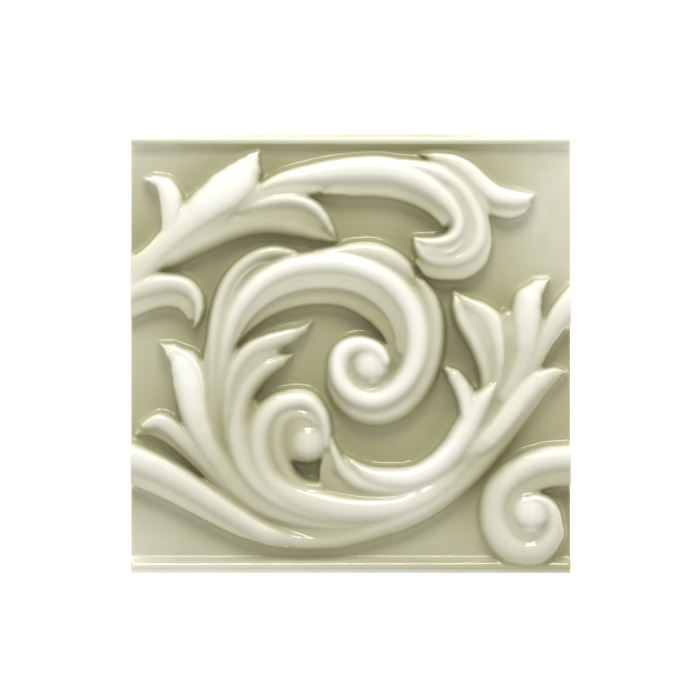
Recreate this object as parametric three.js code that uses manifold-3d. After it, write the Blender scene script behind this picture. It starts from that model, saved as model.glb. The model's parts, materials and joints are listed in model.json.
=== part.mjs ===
// Relief border tile: one pressed and glazed ceramic tile, 152 mm square, with a
// leafy scroll in high relief between two rounded rims. Millimetres, +Z up.
// The tile lies on its flat back. The origin is at the middle of the back.

import * as THREE from "three";
import { mergeVertices } from "three/addons/utils/BufferGeometryUtils.js";
import Module from "manifold-3d";

// Driving dimensions of the body.
const tileWidth = 152; // along X, the way the scroll runs from tile to tile
const tileHeight = 152; // along Y, from rim to rim
const groundThickness = 9; // from the back to the sunk ground of the relief
const rimWidth = 5.6; // of each rounded rim, along Y
const rimRise = 4.5; // of each rim above the ground
const reliefScale = 1; // rise of the whole scroll, 1 as drawn
const rooting = 3; // how far the scroll's forms reach down into the body

// Finish of the curves.
const longestRun = 7; // mm along a crest from one section to the next
const shortestRun = 2.8; // mm, a shorter last run is joined to the one before it
const trialSteps = 12; // trial sections between two stations, of which the needed ones are kept
const widestTurn = 17; // degrees a crest may turn from one section to the next
const eyeSides = 14; // sides of a round eye
const endReach = 0.8; // how far a form's end rounds off, as a share of its narrower reach
const endWidth = 0.6; // its width there, as a share
const endRise = 0.74; // its rise there, as a share
const places = [1, 0.94, 0.72, 0.38, 0]; // across a section, from its foot to its crest

// How square a section is, 2 for an ellipse: the kind is the last word of a form's name.
const squareness = { leaf: 2.7, ledge: 4.5, floor: 4.5, dish: 4.5, bed: 4.5 };
const roundSection = 2.1; // of every other form

// The scroll is drawn on a 152 mm square and fitted to the tile's size.
const drawingSide = 152;

// Each form of the scroll is a brush stroke: a list of stations along its crest, each
// [x, y, reach to the left of the way it runs, reach to the right, rise above the ground].
const strokes = {
  main_stem: [
    [-82, -33.2, 5, 7.6, 7.8], [-75, -35.5, 5, 7.2, 7.8], [-68, -38, 4.5, 7, 7.8],
    [-60, -41.9, 4, 6.8, 7.8], [-50, -48.2, 3.6, 6.3, 7.7], [-40, -54.8, 3.4, 5.6, 7.5],
    [-30, -60.8, 3.2, 4.8, 7.2], [-20, -64, 2.8, 3.8, 7], [-10, -65.2, 2.6, 3, 6.6],
    [0, -63.4, 4, 3.6, 6.4], [10, -60, 5.4, 4.2, 6.4], [20, -55.8, 6, 4.4, 6.2], [29, -51, 5.5, 4.4, 6],
    [37.5, -45, 5, 4.4, 5.8], [44.5, -38.2, 4.5, 4.4, 5.6], [50.5, -31.3, 4.5, 4.2, 5.5],
    [56, -24.5, 4.5, 4, 5.3], [61.5, -17.5, 4.5, 3.8, 5.1], [66.5, -11.5, 4, 3, 4.8],
    [71.5, -7.5, 2, 2, 4],
  ],
  stem_ledge: [
    [-82, -39.8, 4, 3.6, 5.2], [-75, -42.3, 4, 3.5, 5.2], [-68, -45.3, 4, 3.4, 5.2],
    [-60, -49.4, 4, 3.2, 5.2], [-50, -54.8, 3.6, 3, 5.2], [-40, -60, 3, 2.8, 5],
    [-30, -64, 2.4, 2.2, 4.8], [-22, -66.2, 1.5, 1.5, 4.4],
  ],
  lower_band: [
    [-8.5, -31.5, 3.5, 2.2, 6.5], [-8.6, -26, 3.8, 2.6, 7], [-10.3, -20.5, 4, 3, 7.6],
    [-14.5, -16.4, 4, 3.3, 8], [-20, -15.8, 4.2, 3.3, 8.2], [-26.3, -18.2, 4.5, 4, 8.2],
    [-31, -23.2, 4.8, 5.2, 8], [-32.8, -30, 4.8, 5.4, 7.9], [-31.8, -37.3, 5, 5.5, 7.8],
    [-27.5, -43.8, 5.2, 6.4, 7.8], [-20.5, -48.2, 5, 7.6, 7.9], [-12, -50.6, 4.8, 8.2, 8],
    [-3.5, -52.2, 4.2, 8, 8], [6, -52.8, 4, 7, 8], [15, -52, 3.8, 6.5, 8], [24, -49.2, 4, 6, 7.6],
    [32, -44.8, 4, 5.5, 6.8], [38.5, -39.5, 3.4, 4.6, 5.8], [43, -35, 2.4, 3, 4.6],
  ],
  lower_ring: [
    [-11.5, -24.6, 1.6, 2.4, 5.4], [-15.2, -21.2, 3, 3, 6.4], [-20, -20.4, 4.4, 3.4, 6.6],
    [-24.6, -23, 5, 3.6, 6.6], [-27.2, -28.5, 5.4, 4, 6.5], [-26.9, -34.5, 5.4, 4, 6.3],
    [-24.2, -40, 4.6, 4, 6], [-20.2, -43.9, 3.4, 3.5, 5.8], [-16, -46.2, 2, 2, 5.5],
  ],
  feather_lower: [
    [-20.5, -0.8, 1, 1, 4.5], [-24.5, -2.6, 3, 2.8, 6], [-29.5, -5, 4, 3.8, 6.8],
    [-34, -9, 4.5, 4, 7.2], [-37.3, -14.5, 4.5, 4.5, 7.4], [-39.3, -21.5, 5.5, 4.5, 7.6],
    [-39.9, -29, 8, 4.5, 7.8], [-38, -37, 8.5, 4.5, 7.8], [-33.8, -43.8, 8.5, 4.5, 7.6],
    [-27.5, -49.2, 8, 4.5, 7.4], [-19.5, -53, 7, 4.5, 7], [-10, -55.3, 6.5, 4.5, 6.6],
    [1, -56, 6, 4.5, 6.2], [12, -54.5, 5, 4.5, 5.8], [22, -51.5, 4.5, 4, 5.4], [31, -47, 4, 4, 5],
  ],
  feather_upper: [
    [-13.3, 11.2, 0.7, 0.7, 4], [-17, 8.6, 2.8, 1.2, 5.8], [-22.5, 6.8, 4.6, 2, 7],
    [-29, 4.8, 5.5, 2.4, 7.4], [-35, 1.6, 5.2, 2.8, 7.5], [-39.5, -4, 4.6, 3.4, 7.5],
    [-42, -11, 4, 3.6, 7.3], [-42.6, -19, 4, 3.4, 7], [-42.4, -27, 4, 3, 6.4], [-40.8, -35, 4, 3, 5.8],
    [-37, -43, 4, 3.4, 5.6], [-31, -49.5, 4, 3.6, 5.6], [-22, -54, 4, 4, 5.6],
  ],
  side_leaf: [
    [-65.8, 3.3, 0.6, 0.6, 5], [-61.3, 0.4, 3.2, 3.2, 7.4], [-57.2, -4, 6, 6, 8.2],
    [-54.8, -10.6, 6, 7, 8.5], [-53.6, -18, 5.5, 6.5, 8.4], [-51.6, -25.5, 5, 6, 8],
    [-48.6, -32.5, 4.5, 5, 7.6], [-44.6, -39, 4.5, 4.5, 7.2], [-39.6, -45.5, 4.5, 4.5, 6.8],
    [-33, -51.5, 4.5, 3.8, 6.4], [-24, -55.8, 4.5, 3.2, 5.9], [-14, -58.6, 4.4, 2.6, 5.5],
    [-4, -59.6, 4, 2.4, 5.3], [6, -58.8, 3.6, 2.4, 5],
  ],
  side_leaf_rim: [
    [-63.6, 2.2, 0.6, 0.8, 6.6], [-60, 1.2, 1.2, 2, 7.8], [-55.4, -1.4, 1.4, 3, 8.3],
    [-52.2, -6, 1.4, 3, 8.4], [-50.6, -12, 1.2, 2.6, 8], [-50, -18, 0.8, 1.6, 7],
  ],
  small_leaf: [
    [-71.4, -24.9, 1.4, 1.6, 5.6], [-69.4, -24.1, 2.2, 2.6, 6.4], [-66.4, -23.7, 2.8, 3.8, 7],
    [-62.7, -25.5, 3, 4, 7], [-58, -29, 3, 4, 6.8], [-52.5, -34.3, 3.5, 4.2, 6.6],
    [-46.5, -40.3, 3.5, 4.2, 6.4], [-40, -46.3, 3.5, 4, 6.1], [-32.5, -51.8, 3.5, 3.8, 5.8],
    [-25, -56.4, 3, 3, 4.8], [-17, -60, 2.4, 2, 4],
  ],
  small_ledge: [
    [-73.6, -27.8, 0.8, 0.8, 2], [-70.5, -26.8, 2, 1.8, 3.2], [-66, -27.4, 3, 2.4, 4],
    [-60, -31, 3, 2.6, 4.4], [-53, -37.4, 3, 2.4, 4.6], [-46.5, -43.6, 3, 2.2, 4.8],
    [-39, -50, 3, 2, 4.8], [-30, -55.8, 2, 1.6, 4.6],
  ],
  corner_scroll: [
    [82, -34.2, 7, 3.2, 8.2], [74, -34.6, 7, 3.4, 8.2], [67, -35.8, 7, 4, 8.2],
    [60.5, -38.8, 6.4, 5, 8.2], [55, -43.4, 5.6, 6, 8.2], [51.3, -49, 5.2, 6.8, 8.1],
    [50.3, -55, 5, 6.8, 8], [51.6, -60.6, 4.8, 7, 7.9], [55.2, -65.4, 4.6, 7.2, 7.8],
    [60.4, -67.8, 4.4, 6, 7.7], [65.6, -66.8, 4.2, 6, 7.6], [69.5, -62.8, 4, 4.6, 7.6],
    [70.4, -57.2, 4, 3, 7.7], [68.4, -52.4, 3.8, 2.8, 8], [64, -50.2, 3, 2.4, 8.2],
    [59.5, -51.4, 2, 2, 8],
  ],
  corner_ledge: [
    [82, -42, 4, 4, 5.4], [74, -42.2, 4, 4, 5.4], [66.5, -43.6, 3.6, 4, 5.4], [60.5, -47, 3, 4, 5.6],
    [57, -52, 2.6, 4, 5.8], [56, -57.5, 2.6, 3.6, 5.8], [58, -62, 2.4, 3, 5.8],
  ],
  outer_lobe: [
    [-16.6, 33, 1.2, 1.2, 5.5], [-21, 34.6, 2.4, 2.2, 6.4], [-27, 35.2, 2.9, 2.6, 6.9],
    [-33, 33.4, 3.1, 2.8, 7], [-38.5, 29.4, 3.2, 2.9, 7], [-42.5, 24, 3.4, 3, 7],
    [-45.2, 17.2, 3.6, 3, 7], [-46.8, 9.5, 4, 3, 7], [-47.6, 1, 4, 3, 6.9], [-48, -8, 4, 3, 6.7],
    [-47.9, -17, 4, 3, 6.3], [-47.3, -27, 4, 3, 5.7], [-45, -36, 4, 3, 5.2], [-40, -44.5, 4, 3, 5],
    [-33, -51, 4, 3, 5], [-24, -55.5, 4, 3, 5],
  ],
  lobe_dish: [
    [-22, 32, 3.5, 3.5, 4.4], [-28, 30.6, 4.5, 4.5, 4.8], [-34.5, 27.4, 4.5, 4.5, 4.9],
    [-39.5, 21.6, 4.5, 4.5, 5.2], [-43.2, 13, 4, 4, 5.8], [-45.2, 4, 3.5, 3.5, 6.2],
  ],
  dish_fold: [
    [-28.6, 31.6, 0.7, 0.7, 5.2], [-32.4, 30.2, 1.2, 1.4, 5.7], [-36.6, 27, 1.4, 1.8, 6],
    [-40, 22, 1.4, 2, 6], [-42.6, 15.5, 1.4, 2, 6.2], [-44.4, 8, 1.2, 1.8, 6.3],
  ],
  great_scroll: [
    [-45.4, -24, 2.4, 2.6, 5.4], [-45.3, -13, 3.2, 3.8, 6.5], [-44.3, -2, 3.6, 4.5, 7.1],
    [-42.7, 6, 3.8, 4.6, 7.5], [-40.2, 13, 4, 4.8, 7.9], [-36, 19.7, 4.2, 5, 8.3],
    [-29.8, 25.6, 4.4, 5.2, 8.6], [-21, 29.8, 4.4, 5.4, 8.8], [-10, 31.6, 4.4, 5.6, 9],
    [0, 30.8, 4.5, 5.6, 9], [9, 27.5, 5, 5.6, 9], [16, 22.3, 5.4, 5.6, 9], [21, 15.2, 5.6, 5.6, 9],
    [23.2, 7, 5.6, 5.8, 9], [22.8, -1, 5.4, 6, 8.8], [19.8, -8.2, 5, 5.6, 8.6],
    [14.4, -13.6, 4.8, 5, 8.5], [7.8, -16, 4.6, 4.6, 8.5], [1.2, -14.4, 4.4, 4.8, 8.4],
    [-3.3, -9.8, 4.2, 5, 8.4], [-4.7, -4, 3.8, 5.5, 8.5], [-3, 1, 3.6, 5.5, 8.7], [1.5, 3.6, 3, 5, 8.9],
    [6.5, 3.2, 2.8, 5, 9.1], [10.3, 0.8, 2.8, 4.5, 9.2], [12, -2.4, 2.6, 4, 9],
  ],
  scroll_ledge: [
    [-43.5, 0, 3, 2.6, 5.8], [-40, 7.6, 4, 3, 6], [-35.6, 14.4, 4.4, 3.4, 6.3],
    [-28.4, 20.4, 4.6, 3.6, 6.6], [-19.5, 24.2, 4.8, 3.8, 6.8], [-9.5, 25.4, 4.8, 3.8, 6.9],
    [0, 24.4, 4.8, 3.8, 6.9], [8, 20.6, 4.8, 3.6, 6.8], [14, 14.8, 4.6, 3.4, 6.6], [17, 8, 4.4, 3, 6.4],
    [18, 1.2, 4, 2.8, 6],
  ],
  inner_ledge: [
    [-41.5, 2.4, 2, 1.6, 3.6], [-37.4, 8, 3.6, 2.4, 4.2], [-32, 13.4, 4, 3.2, 4.5],
    [-25.4, 17.2, 4.2, 3.6, 4.7], [-17.6, 19.4, 4.2, 3.6, 4.8], [-9.6, 20.1, 4.2, 3.7, 4.8],
    [-2, 19.3, 4.2, 3.8, 4.8], [4.6, 16.2, 4.2, 3.8, 4.8], [9.8, 11.6, 4, 3.2, 4.8],
    [13.2, 6.6, 3.6, 2.6, 4.8], [15, 1.4, 3, 2.2, 4.6], [15.4, -3, 2, 2, 4.4],
  ],
  right_strand: [
    [22.3, 26, 1.2, 2, 5], [25, 23.3, 2.2, 4, 6.2], [28, 18, 3, 5, 6.8], [29.6, 11, 3.2, 5.5, 6.9],
    [29.6, 4, 3.2, 5.5, 6.8], [28.4, -3, 3.2, 5, 6.4], [25.8, -9.6, 3.4, 5, 6],
    [21.6, -15.6, 3.6, 5, 5.6], [15.8, -20, 3.8, 5, 5.4], [9, -21.8, 3.8, 5, 5.2],
    [2.4, -20.6, 3.6, 4.4, 5], [-3, -17, 3, 4, 4.8], [-6.4, -12, 2.2, 3.4, 4.4],
    [-7.6, -6.4, 1.4, 2.6, 4],
  ],
  crown_lobe: [
    [-12, 34.2, 2, 3, 6.7], [-5, 35, 2.4, 4, 7.2], [2, 36, 2.9, 5, 7.5], [8, 35.8, 3.1, 5.5, 7.5],
    [14, 33.6, 3.2, 6, 7.4], [18.3, 30.4, 3, 5.5, 7.1], [20.8, 27, 2.1, 4, 6.2], [21.8, 24.5, 1, 2, 5],
  ],
  calyx_lobe: [
    [-2, -35.2, 0.8, 1, 4.5], [0.8, -37.9, 2, 3, 6.5], [6, -41.2, 3, 5, 7.8], [13, -42.6, 3.7, 6, 8.4],
    [21, -42, 3.6, 6.4, 8.6], [28, -38.7, 3.8, 6.6, 8.6], [34, -33.5, 4.2, 6.6, 8.5],
    [38.8, -27.4, 5, 6.5, 8.4], [42.2, -21.8, 5, 5.5, 8.3], [44.8, -17.2, 4.8, 4.8, 8.3],
    [47, -14.2, 3.6, 3.8, 8.3], [48.8, -12, 2.2, 2.6, 8], [49.8, -10.9, 1.2, 1.4, 7.4],
  ],
  calyx_foot: [
    [-6.8, -30, 1.6, 1.6, 6], [-5.4, -35, 2.6, 2.6, 6.8], [-2.5, -40.3, 3.6, 3.6, 7.1],
    [2.5, -44.3, 4, 4, 7.3], [9.5, -46.4, 4, 3.8, 7.2], [18, -46.6, 4, 3.8, 6.8], [26, -44, 4, 4, 6.5],
    [33, -39, 4, 4, 6.3],
  ],
  calyx_left_leaf: [
    [33.2, -5.4, 1.6, 1.6, 5.6], [36, -8, 3, 3.2, 7.2], [38.3, -12, 3.6, 3.4, 7.7],
    [40, -17, 3.6, 3.4, 8], [40.8, -23, 3.6, 3.4, 8.2],
  ],
  tall_leaf_left: [
    [35.6, 20.8, 1, 1, 5], [36.8, 16, 3.6, 2.4, 6.6], [38.8, 10.5, 4.8, 2.8, 7.1],
    [42.2, 5, 4.8, 3, 7.2], [45, -1, 4.2, 3, 7], [46.8, -7, 4, 3, 6.6], [47.3, -13, 3.5, 3, 6],
  ],
  tall_leaf_right: [
    [36.1, 21, 0.9, 0.9, 5], [40.5, 18, 2, 4.5, 6.8], [46, 15.2, 2.7, 6.5, 7.6], [50, 11.2, 3.3, 7, 8],
    [51.4, 5.3, 2.9, 5.5, 8], [51.9, -1, 2.6, 4.5, 7.6], [51.4, -8, 2.6, 4, 6.8], [50, -15, 3, 4, 5.6],
  ],
  pointed_leaf: [
    [68.2, 25.4, 0.6, 0.6, 5], [65.4, 22.4, 2, 4, 6.8], [62.6, 17.8, 4, 6.8, 7.8],
    [61.4, 11.5, 5.4, 6.8, 8], [61, 5, 5.2, 6.2, 7.8], [59.8, -2, 5, 4.8, 7.2], [57, -8.5, 4.5, 4, 7],
    [53.5, -15, 4, 4, 6.8],
  ],
  edge_leaf: [
    [82, 25.5, 8, 3.6, 7.6], [76, 19.5, 7.5, 3.4, 7.6], [71.4, 14, 6.5, 3.2, 7.5],
    [68.4, 8.5, 5, 2.8, 7.2], [65.8, 3, 4, 2.6, 6.9], [62.8, -3, 3.5, 3, 6.6],
    [58.8, -9, 3.5, 3.5, 6.4], [54.5, -15.5, 3.5, 3.5, 6.2],
  ],
  low_leaf: [
    [74, -6.4, 0.8, 0.8, 4.8], [70, -6.6, 2.4, 2.4, 6.8], [64.8, -9.2, 3.8, 3.6, 7.6],
    [60, -13.6, 4.4, 4.6, 7.9], [55.8, -19, 4.8, 4.6, 8], [51.4, -24.8, 4.8, 4.4, 8],
    [47.6, -29.2, 4.6, 4.6, 8], [45, -31.4, 4, 4, 7.8],
  ],
  broad_leaf: [
    [-82, 21, 8, 7, 7], [-74, 28.5, 5, 6.5, 7.2], [-68, 35, 3.6, 6, 7.4], [-62, 40.8, 4, 6.4, 7.6],
    [-55.5, 46.5, 5.5, 6.8, 8], [-49, 51.3, 7, 7.2, 8.5], [-43, 55.6, 8, 8, 8.8],
    [-38.3, 60, 6.8, 8.2, 8.7], [-34.8, 64.2, 4.2, 5, 8.2], [-32.6, 67.6, 1.8, 2, 7],
    [-31.5, 69.5, 0.6, 0.6, 5],
  ],
  curled_leaf: [
    [-63.5, 37, 3, 3, 7], [-62, 43, 4, 4, 7.4], [-61.3, 48.5, 4.8, 3.8, 7.7],
    [-61.8, 53.3, 4.8, 4.3, 7.8], [-63.8, 57.2, 4, 3.8, 7.6], [-67.2, 59.4, 2, 2.2, 6.8],
    [-70.8, 60.1, 0.8, 0.8, 5],
  ],
  claw_body: [
    [-68, 30.6, 3, 3, 6], [-60, 34.6, 5, 4.4, 6.4], [-50, 39.6, 6, 4.8, 6.4],
    [-40, 43.4, 6.4, 4.6, 6.3], [-31, 45.2, 6, 4.6, 6.1], [-22, 44.4, 5.4, 4.2, 5.7],
    [-14, 41.8, 4, 3, 5.2], [-8, 39.7, 2.4, 1.8, 4.4], [-5, 38.6, 1, 0.8, 3.4],
  ],
  claw_ridge: [
    [-41, 48, 1.6, 2, 5], [-36.4, 50, 2.4, 3, 6.6], [-30.5, 52, 2.6, 3.8, 7.5],
    [-24.5, 53.2, 2.6, 3.4, 7.9], [-18.5, 53, 2.6, 3.2, 7.9], [-13.2, 51, 2.5, 3, 7.6],
    [-9.5, 47.4, 2.4, 2.8, 7], [-7, 43, 2, 2, 6], [-5, 39.2, 0.9, 0.9, 4],
  ],
  claw_floor: [
    [-36, 47, 4, 4, 6], [-28, 48.8, 4.6, 4.6, 5.8], [-19, 48.6, 4.6, 4.6, 5.2],
    [-11.5, 44.6, 3.4, 3.6, 4.6],
  ],
  long_scroll: [
    [-32.5, 55.4, 2, 2, 6.6], [-28.6, 58, 2.4, 3, 7.6], [-23, 60.2, 3, 4.2, 8],
    [-16, 61.8, 3.4, 5.4, 8.2], [-7, 63.6, 3.6, 6.6, 8.5], [2, 64.6, 3.8, 7.2, 8.7],
    [11, 64.6, 4, 7.2, 8.7], [19, 62.8, 4.2, 7, 8.6], [26, 59.4, 4.2, 6.4, 8.5],
    [31.5, 55.2, 3.8, 5.6, 8.4], [35.6, 50.3, 3.4, 4.6, 8.3], [37.6, 45.5, 3.2, 4, 8.2],
    [36.6, 41.4, 3.2, 3.4, 8.1], [32.8, 38.9, 3, 2.8, 8], [27.5, 38.4, 3, 2.2, 7.8],
    [22.6, 39.4, 2, 1.2, 7],
  ],
  long_ledge: [
    [-11.4, 55.4, 0.8, 0.8, 5], [-6, 56.4, 3, 2.2, 5.6], [1, 57.2, 4, 3, 5.7], [9, 57.3, 4, 3.2, 5.7],
    [17, 56.1, 4, 3.2, 5.7], [24, 53.4, 4, 3, 5.7], [29.4, 49.6, 4, 2.8, 5.7],
    [32.6, 45.4, 3.6, 2.2, 5.6],
  ],
  hook_rim: [
    [18, 65.2, 2.5, 4, 8], [26, 63.8, 3, 4, 8], [33, 61, 3.5, 4, 8], [38.6, 56.6, 3.8, 4, 7.9],
    [42.2, 51, 3.8, 4, 7.9], [44.4, 45.4, 3.6, 4, 7.8], [44.6, 40, 3.6, 4, 7.6],
    [42.8, 35.8, 3.6, 4, 7.5], [39.2, 33, 3.6, 4, 7.4], [34.4, 31.8, 3.6, 4, 7.3],
    [29.6, 32, 3.4, 4, 7.3], [25.8, 33.8, 3, 3.6, 7.3], [23.4, 36.6, 2, 2.6, 7.2],
    [22, 39.6, 1, 1.5, 6.4],
  ],
  hook_ledge: [
    [23.6, 31.6, 1.8, 2, 4.6], [27.6, 28.8, 3, 3.2, 5.2], [33, 27.8, 4, 3, 5.4],
    [39, 28.6, 4, 3.4, 5.4], [43.8, 32, 4, 3.4, 5.4], [46, 37, 4, 3, 5.6], [46, 42.5, 4, 2.8, 5.8],
    [45.2, 48, 3, 2.6, 6],
  ],
  hook_floor: [
    [26.5, 36.4, 3, 3, 7.1], [31, 35.4, 4.4, 4.4, 6.6], [37, 37.6, 5, 5, 6.3], [40.6, 43, 4, 4, 6.5],
    [39.8, 50, 3.5, 3.5, 6.8], [35, 57, 3, 3, 7],
  ],
  hook_bead: [
    [31.8, 34.4, 1.8, 1.6, 7], [34.6, 34.9, 2.2, 1.8, 7.3], [37.2, 36.8, 1.8, 1.6, 7.2],
    [38.4, 39.4, 0.8, 0.8, 6.7],
  ],
  top_leaf: [
    [24.6, 68.6, 0.7, 0.7, 4.5], [30, 67.6, 2, 2.8, 6.6], [36, 66.2, 2.6, 3.8, 7.4],
    [41, 63.2, 3, 4.4, 7.7], [45.5, 59, 3, 4.8, 7.8], [50, 55.4, 3.2, 4.6, 7.9],
    [55, 53.8, 3, 3.6, 7.9], [59.4, 53.6, 2.4, 2.8, 7.5], [62.4, 54.4, 1, 1.4, 6],
  ],
  top_ledge: [
    [45.4, 52.4, 1.6, 1.6, 4], [49.2, 49.8, 3, 2.6, 4.9], [54.4, 48.9, 3, 2.8, 5.1],
    [58.8, 49.8, 2.6, 2.4, 4.9], [61.2, 51.6, 1.4, 1.4, 4.2],
  ],
  left_hook: [
    [-82, 19.4, 4.4, 5.4, 7.2], [-74, 22.6, 4.4, 5.4, 7.3], [-67, 24.6, 3.6, 5.4, 7.4],
    [-61, 25, 2.9, 5, 7.5], [-56.3, 23.6, 2.9, 4.4, 7.5], [-53.4, 20.2, 2.9, 3.6, 7.3],
    [-52.3, 16, 2.4, 2.6, 6.8], [-52.8, 12, 1.7, 2, 6], [-54, 9, 0.8, 0.9, 4.5],
  ],
  left_ledge: [
    [-82, 12.4, 5, 3.6, 5], [-74, 16, 5, 3.4, 5], [-67.5, 18.2, 4, 3.2, 5], [-61.4, 18.6, 3.4, 3, 5],
    [-57.4, 16.6, 2.8, 2.6, 5], [-55.4, 12.6, 1.6, 1.6, 4.4],
  ],
  bundle_bed: [
    [-45.5, 9, 3, 4, 5.8], [-46.5, -4, 4.4, 5, 6], [-46.8, -18, 5, 5, 5.4], [-44.5, -32, 6, 6, 4.6],
    [-38, -44, 6, 6, 4.6], [-27, -54, 6, 7, 4.8], [-14, -57.4, 6, 7, 4.8], [0, -58.6, 6, 6, 5],
    [14, -56.6, 6, 6, 5], [26, -51, 6, 6, 5], [36, -43.5, 6, 6, 5], [43, -35.5, 6, 6, 5],
  ],
  feather_bed: [
    [-24, 2, 1.2, 1.2, 3.6], [-27.5, 0.6, 2.6, 2.6, 5.4], [-32.5, -2.2, 3.4, 3.4, 6.2],
    [-37.2, -7.6, 3.4, 3.4, 6.4], [-40, -15, 3.4, 3.4, 6.5], [-41, -24, 3.4, 3.4, 6.5],
  ],
  calyx_bed: [
    [54.8, 13, 3.4, 3.4, 6.4], [55.3, 7, 3.8, 3.8, 6.7], [55.6, 0, 4.4, 4.4, 5.8], [54, -8, 5, 5, 5.8],
    [51, -16, 5, 5, 5], [47, -24.5, 5, 5, 5.4], [40, -34, 6, 6, 6],
  ],
  tall_leaf_bed: [
    [38.8, 16.4, 2.6, 2.6, 5.4], [43.2, 10.6, 4.4, 4.4, 6.5], [47, 3, 4.4, 4.4, 6.4],
    [48.6, -6, 4, 4, 5.8],
  ],
  calyx_web_bed: [
    [41.2, -12, 1.4, 1.4, 5.6], [41.8, -16.4, 2.2, 2.2, 7], [41.4, -22, 3, 3, 7.4],
  ],
  edge_leaf_bed: [
    [70.6, 12.4, 2, 2, 2.4], [68.2, 8.6, 3, 3, 5], [65.4, 3.4, 4, 4, 5.8], [62, -3.4, 4.4, 4.4, 5.8],
    [57, -11, 5, 5, 5.6],
  ],
  claw_bed: [
    [-68, 33, 5, 5, 6.4], [-58, 40.2, 5.4, 5.4, 6.4], [-48, 45.6, 5.4, 4.4, 6.2],
    [-39.6, 51.4, 4, 2.6, 6.4], [-31, 54.6, 4, 3.6, 6.9], [-22, 57, 4, 3.8, 6.8],
    [-14, 58, 3.4, 3.6, 6.2], [-7, 58.8, 3, 3, 5],
  ],
  hook_bed: [
    [28, 64.4, 2, 2, 6], [35, 61.6, 4.4, 4.4, 6.6], [41, 56.4, 4.6, 4.6, 6.6], [44.6, 49.6, 4, 4, 6.4],
  ],
  calyx_foot_bed: [
    [-7.4, -36, 2.2, 2.2, 3.4], [-7.8, -40.5, 2.8, 2.4, 3.6], [-6.2, -44.4, 3, 3, 4.2],
    [-1.5, -46.8, 3.2, 3.4, 4.8], [4, -48.2, 3.4, 3.4, 5.2], [11, -48.6, 3.6, 3.6, 5.6],
    [20, -46.8, 4, 4, 5.8],
  ],
};

// Each volute winds round an eye on a lower floor, and two eyes have a small bead below
// them. All are round: [x, y, radius, rise above the ground].
const eyes = {
  lower_eye: [-14.6, -31, 7.2, 8.5],
  lower_floor: [-17, -29, 9, 6],
  great_eye: [7.2, -4, 7.2, 8.9],
  great_floor: [6.6, -6, 9.2, 6],
  great_bead: [7.6, -9.4, 3, 7.2],
  corner_eye: [61.6, -55.4, 7.8, 8.5],
  corner_floor: [61, -57.5, 9.4, 6],
  corner_bead: [62, -61, 3.6, 7.4],
};

// The tile without its scroll: one bar of clay, with a rounded rim along both edges.
function bodyGeometry() {
  const edge = tileHeight / 2;
  const shape = new THREE.Shape();
  const rim = [
    [0, 0.2], [0.08, 0.54], [0.25, 0.87], [0.5, 1], [0.75, 0.87], [0.92, 0.54], [1, 0],
  ].map(([across, up]) => [edge - across * rimWidth, groundThickness + up * rimRise]);
  shape.moveTo(-edge, 0);
  shape.lineTo(edge, 0);
  rim.forEach(([y, z]) => shape.lineTo(y, z));
  rim.reverse().forEach(([y, z]) => shape.lineTo(-y, z));
  const bar = new THREE.ExtrudeGeometry(shape, { depth: tileWidth, bevelEnabled: false });
  bar.rotateX(Math.PI / 2);
  bar.rotateZ(Math.PI / 2);
  bar.translate(-tileWidth / 2, 0, 0);
  return bar;
}

// Sections along a smooth curve through the stations, closer where the crest turns.
function sectionsAlong(stations) {
  const points = stations.map(([x, y]) => new THREE.Vector3(x, y, 0));
  const crest = new THREE.CatmullRomCurve3(points, false, "centripetal");
  const fine = trialSteps * (stations.length - 1);
  const picked = [];
  let last = null;
  for (let i = 0; i <= fine; i++) {
    const p = crest.getPoint(i / fine);
    const t = crest.getTangent(i / fine);
    const heading = Math.atan2(t.y, t.x);
    const from = Math.min(Math.floor(i / trialSteps), stations.length - 2);
    const share = THREE.MathUtils.smoothstep(i / trialSteps - from, 0, 1);
    const mix = (k) => THREE.MathUtils.lerp(stations[from][k], stations[from + 1][k], share);
    const here = { p, heading, left: mix(2), right: mix(3), rise: mix(4) };
    const turn = last ? Math.atan2(Math.sin(heading - last.heading), Math.cos(heading - last.heading)) : 0;
    const run = last ? p.distanceTo(last.p) : 0;
    const due = !last || run > longestRun || Math.abs(turn) > THREE.MathUtils.degToRad(widestTurn);
    if (due || i === fine) {
      if (i === fine && run < shortestRun && picked.length > 2) picked.pop();
      picked.push(here);
      last = here;
    }
  }
  return [roundedEnd(picked[0], -1), ...picked, roundedEnd(picked.at(-1), 1)];
}

// A narrower and lower section just beyond an end, so that no form stops in a cut.
function roundedEnd(section, way) {
  const beyond = way * endReach * Math.min(section.left, section.right);
  const step = new THREE.Vector3(Math.cos(section.heading), Math.sin(section.heading), 0);
  return {
    p: section.p.clone().addScaledVector(step, beyond),
    heading: section.heading,
    left: section.left * endWidth,
    right: section.right * endWidth,
    rise: section.rise * endRise,
  };
}

// Half of a form's section, from its foot to its crest, as shares of its reach and rise.
function halfSection(name) {
  const square = squareness[name.split("_").at(-1)] ?? roundSection;
  return places.map((side) => [side, (1 - side ** square) ** (1 / square)]);
}

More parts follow.
